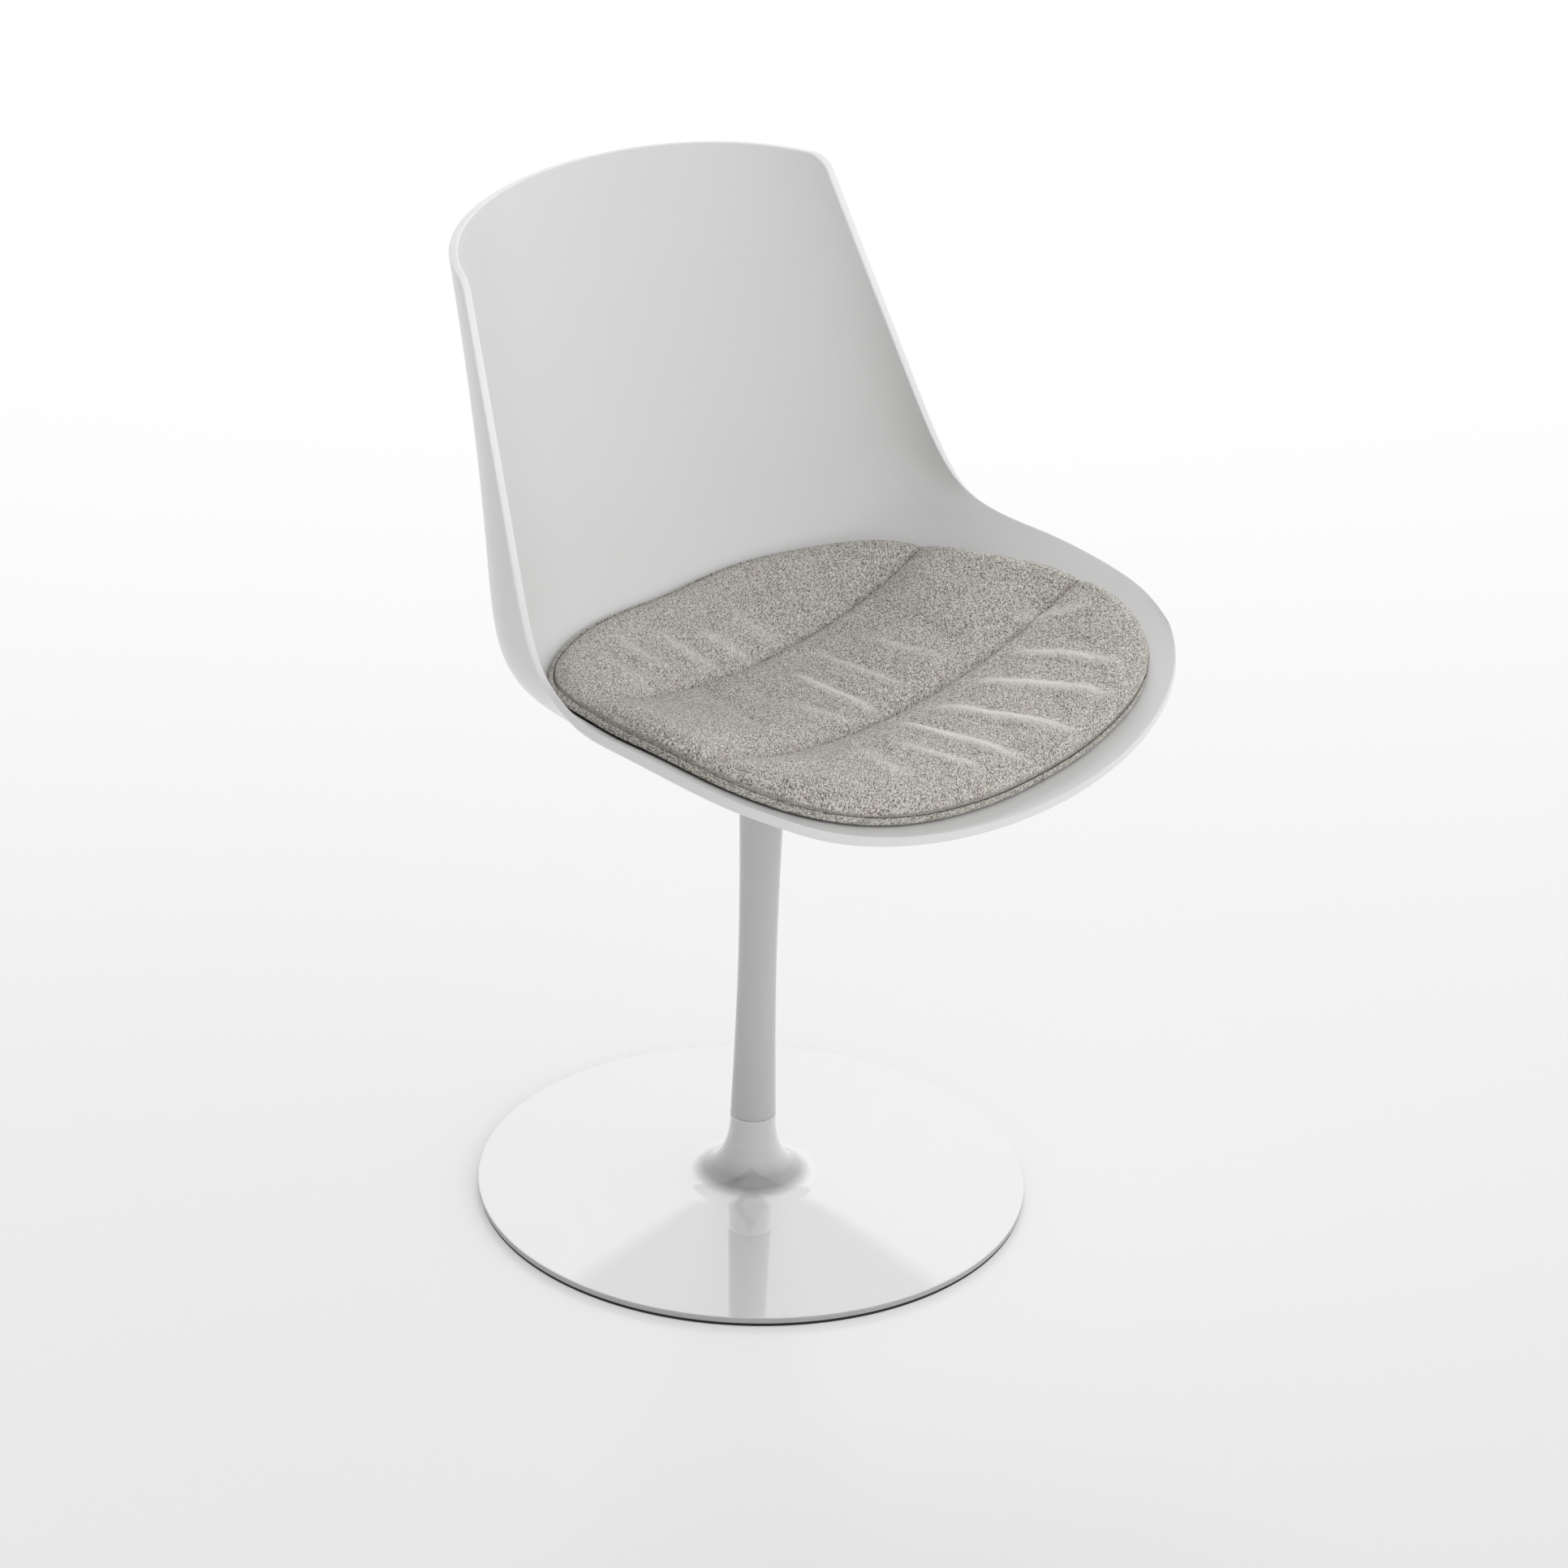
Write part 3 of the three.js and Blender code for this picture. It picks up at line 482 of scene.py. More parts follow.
def addObject(name, data):
    made = bpy.data.objects.new(name, data)
    bpy.context.collection.objects.link(made)
    return made


def addMesh(name, points, faces, material, smooth=True):
    mesh = bpy.data.meshes.new(name)
    mesh.from_pydata([tuple(float(c) * mm for c in p) for p in points], [], faces)
    mesh.validate()
    mesh.materials.append(material)
    if smooth:
        mesh.shade_smooth()
    return addObject(name, mesh)


def faceOutward(piece):
    work = bmesh.new()
    work.from_mesh(piece.data)
    bmesh.ops.recalc_face_normals(work, faces=work.faces)
    work.to_mesh(piece.data)
    work.free()


def stackFaces(rings, closed=False):
    # faces from each ring of point numbers to the next; a number that repeats in a face leaves a triangle
    faces = []
    for low, high in zip(rings, rings[1:] + (rings[:1] if closed else [])):
        for k in range(len(low)):
            n = (k + 1) % len(low)
            corners = [low[k], low[n], high[n], high[k]]
            faces.append([c for i, c in enumerate(corners) if c not in corners[:i]])
    return faces


def turned(name, profile, material, facets):
    # a closed turned piece; the profile is pairs of radius and height, and a zero radius closes on the axis
    points, rings = [], []
    for radius, height in profile:
        count = facets if radius else 1
        rings.append([len(points) + k % count for k in range(facets)])
        for k in range(count):
            angle = 2 * math.pi * k / facets
            points.append((radius * math.cos(angle), radius * math.sin(angle), height))
    piece = addMesh(name, points, stackFaces(rings, closed=profile[0][0] > 0), material)
    faceOutward(piece)
    return piece


def gridFaces(rows, columns, start=0, flip=False):
    # the cells of a grid whose points are numbered row by row from start
    faces = []
    for row in range(rows - 1):
        for column in range(columns - 1):
            a = start + row * columns + column
            face = (a, a + 1, a + columns + 1, a + columns)
            faces.append(face[::-1] if flip else face)
    return faces


def borderOf(rows, columns):
    # the numbers of a grid's border points, all the way round
    loop = [(0, c) for c in range(columns - 1)] + [(r, columns - 1) for r in range(rows - 1)]
    loop += [(rows - 1, c) for c in range(columns - 1, 0, -1)] + [(r, 0) for r in range(rows - 1, 0, -1)]
    return [r * columns + c for r, c in loop]


def addValues(piece, name, values):
    piece.data.attributes.new(name, "FLOAT", "POINT").data.foreach_set("value", values)


def summed(steps):
    # the way walked to each point
    return np.concatenate([[0], np.cumsum(steps)])


# seat shell

shell = {
    "halfWidth": 275.0,
    "frontReach": 287.0,
    "depth": 502.0,
    "lipHeight": 440.0,
    "rise": 377.0,
    "wall": 7.0,
    "land": 8.0,
    "lipSpread": 2.0,
    "topCorner": 12.0,
    "edgeRound": 1.3,
    "highlightAndGlossRise": (500.0, 700.0),  # heights between which the edge's painted highlight and extra gloss grow from their least
    "highlightAndGlossLeast": 0.1,
    "columns": 48,  # on each side
    "rows": 130,
    "cornerSteps": 6,
    "rimWidth": [0.891, 0.975, 0.996, 1, 1, 0.978, 0.964, 0.942, 0.902, 0.844, 0.8],
    "rimDepth": [0.152, 0.224, 0.325, 0.414, 0.482, 0.538, 0.588, 0.626, 0.675, 0.749, 0.805],
    "rimHeight": [0.098, 0.13, 0.159, 0.18, 0.188, 0.212, 0.255, 0.345, 0.512, 0.759, 0.944],
    "spineDepth": [0, 0.11, 0.221, 0.331, 0.438, 0.548, 0.663, 0.771, 0.831, 0.902, 0.986],
    "spineHeight": [0, 0.012, 0.016, 0.016, 0.015, 0.016, 0.04, 0.101, 0.305, 0.613, 1],
    "arch": [72.5, 60, 53, 53, 61, 76, 93, 101, 92, 81, 76],
    "upright": [0, 0, 0, 0, 0.1, 0.35, 0.7, 1, 1, 1, 1],
    "footRadius": 68.0,
    "footDraft": 9.0,
    "footHeight": 430.0,
    "footFacets": 96,
    # rings of the foot: shares of the radius with a lift, then shares of the draft with a share of the climb
    "footBottom": ((0.5, 0.0), (0.97, 0.0), (0.995, 0.35), (1.004, 1.2)),
    "footSide": ((0.12, 0.25), (0.27, 0.5), (0.5, 0.72), (0.78, 0.88), (1.15, 1.0)),
}


def along(values, share):
    # a smooth curve over even stations: a cubic B-spline that starts and ends on its end values
    values = np.asarray(values, float)
    last = len(values) - 1
    before = 2 * values[0] - values[1]
    after = 2 * values[-1] - values[-2]
    padded = np.concatenate(([before], values, [after]))
    position = np.clip(np.asarray(share, float), 0, 1) * last
    index = np.minimum(position.astype(int), last - 1)
    t = position - index
    weights = [(1 - t) ** 3, 3 * t**3 - 6 * t**2 + 4, 3 * t * (1 + t - t**2) + 1, t**3]
    return sum(w * padded[index + k] for k, w in enumerate(weights)) / 6


def depthOf(name, v):
    # y of one of the shell's curves
    return shell["depth"] * along(shell[name], v) - shell["frontReach"]


def heightOf(name, v):
    return shell["rise"] * along(shell[name], v) + shell["lipHeight"]


def spineAt(v):
    return depthOf("spineDepth", v), heightOf("spineHeight", v)


def shellPoint(u, v, face):
    # u from -1 at the left rim to 1 at the right, v from the lip to the top, face 0 inside to 1 outside
    u, v = np.broadcast_arrays(np.asarray(u, float), np.asarray(v, float))
    upright = along(shell["upright"], v)
    arch = np.radians(along(shell["arch"], v))
    y, z = spineAt(v)
    lowY, lowZ = spineAt(np.maximum(v - 0.002, 0))
    highY, highZ = spineAt(np.minimum(v + 0.002, 1))
    length = np.hypot(highY - lowY, highZ - lowZ)
    y = y + face * shell["wall"] * (highZ - lowZ) / length
    z = z - face * shell["wall"] * (highY - lowY) / length
    rimX = shell["halfWidth"] * along(shell["rimWidth"], v) - (1 - face) * shell["land"] * upright
    rimX = rimX + face * shell["lipSpread"] * (1 - upright)
    rimY = depthOf("rimDepth", v)
    rimZ = heightOf("rimHeight", v) - face * shell["wall"] * (1 - upright)
    side = np.abs(u)
    sweep = (1 - np.cos(side * arch)) / (1 - np.cos(arch))
    x = np.sign(u) * rimX * np.sin(side * arch) / np.sin(arch)
    return np.stack([x, y + (rimY - y) * sweep, z + (rimZ - z) * sweep], axis=-1)


def roundedCorner(u, v, shareU, shareV):
    # draws the grid's top corners in to a round
    across = 1 - (1 - np.abs(u)) / shareU
    upward = 1 - (1 - v) / shareV
    inside = (across > 0) & (upward > 0)
    pull = np.where(inside, np.maximum(across, upward) / np.maximum(np.hypot(across, upward), 1e-9), 1)
    newU = np.where(inside, np.sign(u) * (1 - shareU * (1 - across * pull)), u)
    newV = np.where(inside, 1 - shareV * (1 - upward * pull), v)
    return newU, newV


def seatAt(x, y):
    # the shell's inside over points of the plan, with its normal, by stepping u and v until x and y agree
    x, y = np.asarray(x, float), np.asarray(y, float)
    u = x / shell["halfWidth"]
    v = (y + shell["frontReach"]) / shell["depth"]
    step = 0.001
    for _ in range(14):
        here = shellPoint(u, v, 0)
        du = (shellPoint(u + step, v, 0) - here) / step
        dv = (shellPoint(u, v + step, 0) - here) / step
        missX, missY = x - here[..., 0], y - here[..., 1]
        scale = du[..., 0] * dv[..., 1] - du[..., 1] * dv[..., 0]
        u = u + (missX * dv[..., 1] - missY * dv[..., 0]) / scale
        v = v + (missY * du[..., 0] - missX * du[..., 1]) / scale
    here = shellPoint(u, v, 0)
    du = shellPoint(u + step, v, 0) - here
    dv = shellPoint(u, v + step, 0) - here
    normal = np.cross(du, dv)
    return here, normal / np.linalg.norm(normal, axis=-1, keepdims=True)


def shellStations(count, share):
    # even steps, and then even angles round the top corner
    bend = np.linspace(0, math.pi / 2, shell["cornerSteps"] + 1)
    even = np.linspace(0, 1 - share, count - shell["cornerSteps"], endpoint=False)
    return np.concatenate([even, 1 - share * np.cos(bend)])


def makeShell(material):
    corner = shellPoint(1, 1, 1)
    spanU = np.linalg.norm(corner - shellPoint(0.9, 1, 1)) / 0.1
    spanV = np.linalg.norm(corner - shellPoint(1, 0.98, 1)) / 0.02
    shareU, shareV = shell["topCorner"] / spanU, shell["topCorner"] / spanV
    half = shellStations(shell["columns"], shareU)
    us = np.concatenate([-half[:0:-1], half])
    vs = shellStations(shell["rows"], shareV)
    gridU, gridV = roundedCorner(*np.meshgrid(us, vs), shareU, shareV)
    grids = [shellPoint(gridU, gridV, face) for face in (0, 1)]
    rows, columns = gridU.shape
    outside = rows * columns
    points = [point for grid in grids for point in grid.reshape(-1, 3)]

    # the rim: from the inside over a small round, across the land and over another round to the outside
    size = shell["edgeRound"]
    shares = (0, 0.25, 0.5, 0.75, 1)
    strips = []
    for index in borderOf(rows, columns):
        row, column = divmod(index, columns)
        near = min(max(row, 1), rows - 2), min(max(column, 1), columns - 2)
        inner, outer = (grid[row, column] for grid in grids)
        land = (outer - inner) / np.linalg.norm(outer - inner)
        curves = []
        for edge, grid, towardsOther in ((inner, grids[0], land), (outer, grids[1], -land)):
            away = (grid[near] - edge) / np.linalg.norm(grid[near] - edge)
            curves.append([edge + away * size * (1 - t) ** 2 + towardsOther * size * t**2 for t in shares])
        rim = curves[0] + curves[1][::-1]
        points[index], points[outside + index] = rim[0], rim[-1]
        strips.append([index, *range(len(points), len(points) + len(rim) - 2), outside + index])
        points.extend(rim[1:-1])
    edgeCount = len(points)

    faces = []
    for row in range(rows - 1):
        for column in range(columns - 1):
            a = row * columns + column
            b, c, d = a + 1, a + columns + 1, a + columns
            cut = [(a, b, c, d)]
            if a == 0:  # the front corners turn by half a circle, so they are cut the other way
                cut = [(a, b, c), (a, c, d)]
            if a == columns - 2:
                cut = [(a, b, d), (b, c, d)]
            for face in cut:
                back = (face[0], *face[:0:-1])
                faces += [face, tuple(outside + index for index in back)]
    faces += stackFaces(list(zip(*strips)))

    # the foot: a drafted round pad that flares towards the shell, and whose top lies inside the wall
    facets = shell["footFacets"]
    angles = np.arange(facets) * 2 * math.pi / facets
    radius, low, draft = shell["footRadius"], shell["footHeight"], shell["footDraft"]
    hidden, normal = seatAt((radius + draft) * np.cos(angles), (radius + draft) * np.sin(angles))
    top = hidden - normal * shell["wall"] * 0.6
    rings = [(radius * share, [low + lift] * facets) for share, lift in shell["footBottom"]]
    rings += [(radius + draft * out, low + (top[:, 2] - low) * climb) for out, climb in shell["footSide"]]
    middle, _ = seatAt([0.0], [0.0])
    start = len(points)
    points.append((0, 0, low))
    for reach, heights in rings:
        points.extend((reach * math.cos(a), reach * math.sin(a), z) for a, z in zip(angles, heights))
    points.append((0, 0, middle[0][2] - shell["wall"] * 0.5))
    last = len(points) - 1
    loops = [range(first, first + facets) for first in range(start + 1, last, facets)]
    faces += stackFaces([[start] * facets, *loops, [last] * facets])
    piece = addMesh("shell", points, faces, material)
    faceOutward(piece)

    # the edge gets the most painted highlight and gloss along the back
    lowest, highest = shell["highlightAndGlossRise"]
    climb = np.array([point[2] for point in points[2 * outside : edgeCount]])
    share = np.clip((climb - lowest) / (highest - lowest), 0, 1)
    edgeHighlightAndGloss = np.zeros(len(points))
    edgeHighlightAndGloss[2 * outside : edgeCount] = shell["highlightAndGlossLeast"] + (1 - shell["highlightAndGlossLeast"]) * share
    addValues(piece, "edge", edgeHighlightAndGloss)
    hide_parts("seat_shell")
    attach(piece, "seat")
    print("shell made,", len(piece.data.polygons), "faces")


# column and base

column = {
    "foot": 66.45,
    "footRadius": 18.4,
    "waist": 209.0,
    "waistRadius": 15.4,
    "top": 424.4,
    "belly": 5.4,
    "flare": 23.2,
    "footPower": 1.6,
    "bellyPower": 1.8,
    "flarePower": 9.0,
    "boreRadius": 13.0,
    "boreTaper": 60.0,
    "ringRadius": 25.0,
    "ringDepth": 10.0,
    "footBreak": 0.15,
    "topBreak": (0.6, 0.8),  # inward and down
    "steps": 90,
}


def columnRadius(height):
    if height < column["waist"]:
        share = (column["waist"] - height) / (column["waist"] - column["foot"])
        grown = (column["footRadius"] - column["waistRadius"]) * share ** column["footPower"]
        return column["waistRadius"] + grown
    share = (height - column["waist"]) / (column["top"] - column["waist"])
    belly = column["belly"] * share ** column["bellyPower"]
    return column["waistRadius"] + belly + column["flare"] * share ** column["flarePower"]


def makeColumn(material):
    foot, high, cut = column["foot"], column["top"], column["footBreak"]
    heights = [foot + (high - foot) * k / column["steps"] for k in range(column["steps"] + 1)]
    outer = [(columnRadius(height), height) for height in heights]
    outer[0] = (outer[0][0] - cut, outer[0][1])
    outer.insert(1, (outer[0][0] + cut, outer[0][1] + cut))
    top = outer.pop()
    inward, down = column["topBreak"]
    outer += [(top[0], top[1] - down), (top[0] - inward, top[1])]
    ringLow = high - column["ringDepth"]
    bore = [
        (column["ringRadius"], high),
        (column["ringRadius"], ringLow),
        (column["boreRadius"], ringLow - column["boreTaper"]),
        (column["boreRadius"], foot),
    ]
    piece = turned("column_tube", outer + bore, material, 128)
    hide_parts("column")
    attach(piece, "seat")
    print("column made")


base = {
    "radius": 222.5,
    "rimLow": 3.0,
    "rimTop": 8.0,
    "rimRound": 0.6,
    "skin": 1.6,
    "hubTop": 66.15,
    "hubRadius": 18.4,
    "hubBore": 16.0,
    "hubBreak": 0.15,
    "coveWidth": 42.0,
    "coveHeight": 55.0,
    "covePower": 2.4,
    "coveSteps": 48,
    "plateShares": (0.08, 0.2, 0.4, 0.6, 0.8, 0.95, 0.996),
    # painted shadow: the pad reaches almost to the rim so its black edge shows as the shade under it
    "padInset": 0.9,
    "padHeight": 2.7,
    "padFace": [(0, 0.6), (60, 0.6), (61, 0), (150, 0), (151, 0.6), (170, 0.6), (171, 0)],
}


def makeBase(material, rimShadeMaterial):
    hubRadius, hubTop, cut = base["hubRadius"], base["hubTop"], base["hubBreak"]
    centre = hubRadius + base["coveWidth"]
    bend = 2 / base["covePower"]
    cove = []
    for k in range(base["coveSteps"] + 1):
        angle = math.pi / 2 * k / base["coveSteps"]
        radius = centre - base["coveWidth"] * math.cos(angle) ** bend
        cove.append((radius, hubTop - base["coveHeight"] * math.sin(angle) ** bend))
    cove[0] = (cove[0][0], cove[0][1] - cut)
    r, top, low, skin = base["radius"], base["rimTop"], base["rimLow"], base["skin"]
    edge = base["rimRound"]
    inner = r - 2 * skin
    footX, footZ = cove[-1]
    plate = [(footX + (r - edge - footX) * s, footZ + (top - footZ) * s) for s in base["plateShares"]]
    quarter = [math.pi / 2 * k / 4 for k in range(1, 5)]
    rim = [(r - edge, top)]
    rim += [(r - edge + edge * math.sin(a), top - edge + edge * math.cos(a)) for a in quarter]
    rim += [(r - edge + edge * math.cos(a), low + edge - edge * math.sin(a)) for a in quarter]
    bore, roof = base["hubBore"], top - skin
    under = [(inner, low), (inner, roof), (bore + 40, roof), (bore, roof + 8)]
    profile = [(bore, hubTop - 0.1), (hubRadius - cut, hubTop)] + cove + plate + rim + under
    piece = turned("base_shell", profile, material, 256)
    piece.data.materials.append(rimShadeMaterial)
    for face in piece.data.polygons:  # painted shade: the edge band under the arris is a darker satin, standing in for the shade on the rim's side
        middle = face.center / mm
        if math.hypot(middle.x, middle.y) > inner + 1 and middle.z < top - edge / 2:
            face.material_index = 1
    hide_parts("base_cover")
    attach(piece, "base")
    print("base made")


def makeFloorPad(material):
    # the rubber disc under the base, with a moulded channel in its face; it reaches out to just inside the
    # rim, where its black edge stands in for the shadow in the gap
    wide, high = base["radius"] - base["padInset"], base["padHeight"]
    edge = [(wide - 0.5, 0), (wide, 0.5), (wide, high - 0.4), (wide - 0.4, high), (0, high)]
    piece = turned("foot_pad", base["padFace"] + edge, material, 192)
    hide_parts("floor_pad")
    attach(piece, "base")
    print("floor pad made")


# cushion

cushion = {
    "start": 0.045,
    "end": 0.768,
    "widthShare": 0.882,
    "aside": -0.033,  # how far it lies off the middle, in shares of the shell's half width
    "spreadAt": (220, -205),  # where a corner has spread, over what width, how far and which way
    "spreadWidth": 95,
    "spread": 6.5,
    "spreadWay": (0.6, -0.8),
    "outlineWidth": [0, 0.197, 0.413, 0.667, 0.914, 1.03, 1.005, 0.961, 0.884, 0.69, 0.45, 0.215, 0],
    "outlineDepth": [0, 0, 0.016, 0.052, 0.151, 0.318, 0.501, 0.666, 0.827, 0.927, 0.981, 1, 1],
    "seams": (0.364, 0.737),
    "cornerFront": 0.27,  # where the grid's corners lie along half the outline
    "cornerBack": 0.73,
    "outlineSteps": 720,
    "panelRows": (72, 76, 60),
    "columns": 360,
    "tight": 0.72,
    "clothRows": (30, 32, 24),
    "clothColumns": 116,
    "clothTight": 0.3,
    "low": 3.8,
    "stitchHeight": 7.0,  # height of the stitched line above the shell
    "turnIn": 1.3,
    "tuck": 8.2,  # where the cover's roll starts to rise
    "seamHeight": 11.6,
    "crownRun": 42,
    "lipShare": 0.5,  # the part of the rise that is taken close to the seam, over the next length
    "lipRun": 3.2,
    "crown": 22.5,
    "shoulder": 17.0,
    "roundPower": 2.2,
    "swell": 2.6,  # the most that the filling may move a point
    "frames": 22,
    "calm": 14.0,  # the filling's lift fades out over this width along the edge
}

# how the cover's cloth is filled
filling = {
    "quality": 7,
    "mass": 0.25,
    "tension_stiffness": 18,
    "compression_stiffness": 18,
    "shear_stiffness": 6,
    "bending_stiffness": 0.6,
    "air_damping": 2,
    "use_pressure": True,
    "uniform_pressure_force": 0.7,
    "shrink_min": -0.004,
}

ridgeForm = {
    "bend": 0.038,  # how far the ridges bow sideways, in shares of their length
    "valley": 0.3,  # a valley beside each ridge: depth in shares of its height, and half widths away
    "valleyAt": 1.9,
    "highlightFullHeight": 2.9,  # the ridge height at which the painted highlight on its top is full, and the highlight's share of the width
    "highlightWidth": 0.85,
}

# tension ridges of the cover: start and end in plan, then height and half width
ridges = [
    ((-42, -148), (-29, -260), 2.9, 7.2),
    ((0, -150), (43, -262), 3.2, 7.4),
    ((58, -150), (112, -251), 3.1, 7.2),
    ((120, -146), (150, -227), 2.4, 7.0),
    ((-84, -178), (-67, -252), 1.8, 7.6),
    ((-120, -172), (-133, -228), 1.1, 7.6),
    ((162, -116), (207, -164), 1.5, 7.0),
    ((-21, -40), (-32, -132), 2.5, 6.6),
    ((28, -18), (24, -116), 1.5, 7.0),
    ((-70, -72), (-66, -128), 1.6, 6.8),
    ((74, -34), (80, -120), 1.1, 7.0),
    ((-110, 86), (-96, 22), 1.1, 8.0),
    ((-67, 76), (-52, 8), 1.3, 8.0),
    ((-24, 62), (-15, 0), 1.2, 8.2),
    ((22, 64), (26, 4), 0.8, 8.0),
    ((-151, 63), (-137, 7), 0.8, 8.0),
]


def depthAt(share):
    # from the front of the cushion to its back
    front = shell["depth"] * cushion["start"] - shell["frontReach"]
    return front + shell["depth"] * (cushion["end"] - cushion["start"]) * share


def outlineAt(share):
    # half the outline, from the middle of the front round the right side to the middle of the back
    x = shell["halfWidth"] * cushion["widthShare"] * along(cushion["outlineWidth"], share)
    return x, depthAt(along(cushion["outlineDepth"], share))


def spreadCorner(x, y):
    # the cushion's front right corner has given way outward
    cornerX, cornerY = cushion["spreadAt"]
    away = (x - cornerX) ** 2 + (y - cornerY) ** 2
    push = cushion["spread"] * np.exp(-away / cushion["spreadWidth"] ** 2)
    wayX, wayY = cushion["spreadWay"]
    return x + wayX * push, y + wayY * push


def shareAtDepth(depthShare):
    low, high = 0.0, 1.0
    for _ in range(40):
        middle = (low + high) / 2
        if along(cushion["outlineDepth"], middle) < depthShare:
            low = middle
        else:
            high = middle
    return low


def easedShares(count, tight):
    # shares from 0 to 1 that crowd towards both ends
    t = np.linspace(0, 1, count + 1)
    return t - tight * np.sin(2 * math.pi * t) / (2 * math.pi)


def makeCushionGrid(panelRows, columns, tight):
    # rows run across the cushion and follow the seams; returns the plan, and each row's and column's share
    seamShares = [shareAtDepth(share) for share in cushion["seams"]]
    stations = [cushion["cornerFront"], *seamShares, cushion["cornerBack"]]
    rows = [stations[0]]
    for start, end, count in zip(stations, stations[1:], panelRows):
        rows.extend(start + (end - start) * easedShares(count, tight)[1:])
    rows = np.array(rows)
    across = 2 * easedShares(columns, tight) - 1
    side = np.abs(across)[None, :]
    at = rows[:, None]
    sideX, sideY = outlineAt(at)
    frontX, frontY = outlineAt(side * cushion["cornerFront"])
    backX, backY = outlineAt(1 - side * (1 - cushion["cornerBack"]))
    toFront = np.clip((stations[1] - at) / (stations[1] - stations[0]), 0, 1)
    toBack = np.clip((at - stations[2]) / (stations[3] - stations[2]), 0, 1)
    spread = (at - rows[0]) / (rows[-1] - rows[0])
    shape = (frontX / frontX.max()) * (1 - spread) + (backX / backX.max()) * spread
    x = sideX * shape * np.sign(across) + shell["halfWidth"] * cushion["aside"]
    y = sideY + toFront * (frontY - frontY[:, -1:]) + toBack * (backY - backY[:, -1:])
    x, y = spreadCorner(x, y)
    return x, y, rows, across


def outlineLoop(steps, inset=0.0):
    # the whole outline, evenly spaced, drawn in by an inset
    x, y = outlineAt(np.linspace(0, 1, 2000))
    x = np.concatenate([x, -x[-2:0:-1]]) + shell["halfWidth"] * cushion["aside"]
    y = np.concatenate([y, y[-2:0:-1]])
    x, y = spreadCorner(x, y)
    dx = np.roll(x, -1) - np.roll(x, 1)
    dy = np.roll(y, -1) - np.roll(y, 1)
    length = np.hypot(dx, dy)
    x, y = x - inset * dy / length, y + inset * dx / length
    x, y = np.append(x, x[0]), np.append(y, y[0])
    walked = summed(np.hypot(np.diff(x), np.diff(y)))
    even = np.linspace(0, walked[-1], steps, endpoint=False)
    return np.interp(even, walked, x), np.interp(even, walked, y)


def nearestOutline(x, y):
    # least distance to the outline's short straight steps, and the level direction towards it
    edgeX, edgeY = outlineLoop(cushion["outlineSteps"])
    nextX, nextY = np.roll(edgeX, -1), np.roll(edgeY, -1)
    best, towards = np.full(x.shape, 1e9), np.zeros((*x.shape, 2))
    for ax, ay, bx, by in zip(edgeX, edgeY, nextX, nextY):
        stepX, stepY = bx - ax, by - ay
        share = np.clip(((x - ax) * stepX + (y - ay) * stepY) / (stepX**2 + stepY**2), 0, 1)
        awayX, awayY = ax + share * stepX - x, ay + share * stepY - y
        far = awayX**2 + awayY**2
        closer = far < best
        best = np.where(closer, far, best)
        towards[closer] = np.stack([awayX, awayY], axis=-1)[closer]
    distance = np.sqrt(best)
    return distance, towards / np.maximum(distance, 1e-6)[..., None]


def padHeight(y, fromEdge):
    # the sewn shape before it is filled: drawn down at both seams and rounded over at the edge
    toSeam = np.minimum(*[np.abs(y - depthAt(share)) for share in cushion["seams"]])
    crown = 1 - (1 - np.clip(toSeam / cushion["crownRun"], 0, 1)) ** cushion["roundPower"]
    lip = 1 - np.exp(-toSeam / cushion["lipRun"])
    crown = (1 - cushion["lipShare"]) * crown + cushion["lipShare"] * lip
    top = cushion["seamHeight"] + (cushion["crown"] - cushion["seamHeight"]) * crown
    share = np.clip(fromEdge / cushion["shoulder"], 0, 1)
    roll = np.sqrt(1 - (1 - share) ** cushion["roundPower"])
    return cushion["tuck"] + (top - cushion["tuck"]) * roll


def ridgeShape(x, y):
    # the height of the ridges, and how much painted highlight each point gets near a ridge top
    height, crestHighlight = np.zeros_like(x), np.zeros_like(x)
    for (x0, y0), (x1, y1), rise, width in ridges:
        dx, dy = x1 - x0, y1 - y0
        length = math.hypot(dx, dy)
        alongShare = ((x - x0) * dx + (y - y0) * dy) / length**2
        aside = ((x - x0) * dy - (y - y0) * dx) / length
        aside = aside - ridgeForm["bend"] * length * (1 - (2 * alongShare - 1) ** 2)
        fade = np.clip(1 - np.abs(2 * alongShare - 1) ** 3, 0, 1)
        height = height + rise * fade * np.exp(-((aside / width) ** 2))
        valley = np.exp(-((aside / width - ridgeForm["valleyAt"]) ** 2))
        height = height - ridgeForm["valley"] * rise * fade * valley
        pale = np.exp(-((aside / (width * ridgeForm["highlightWidth"])) ** 2))
        crestHighlight = crestHighlight + min(rise / ridgeForm["highlightFullHeight"], 1) * fade * pale
    return height, np.clip(crestHighlight, 0, 1)


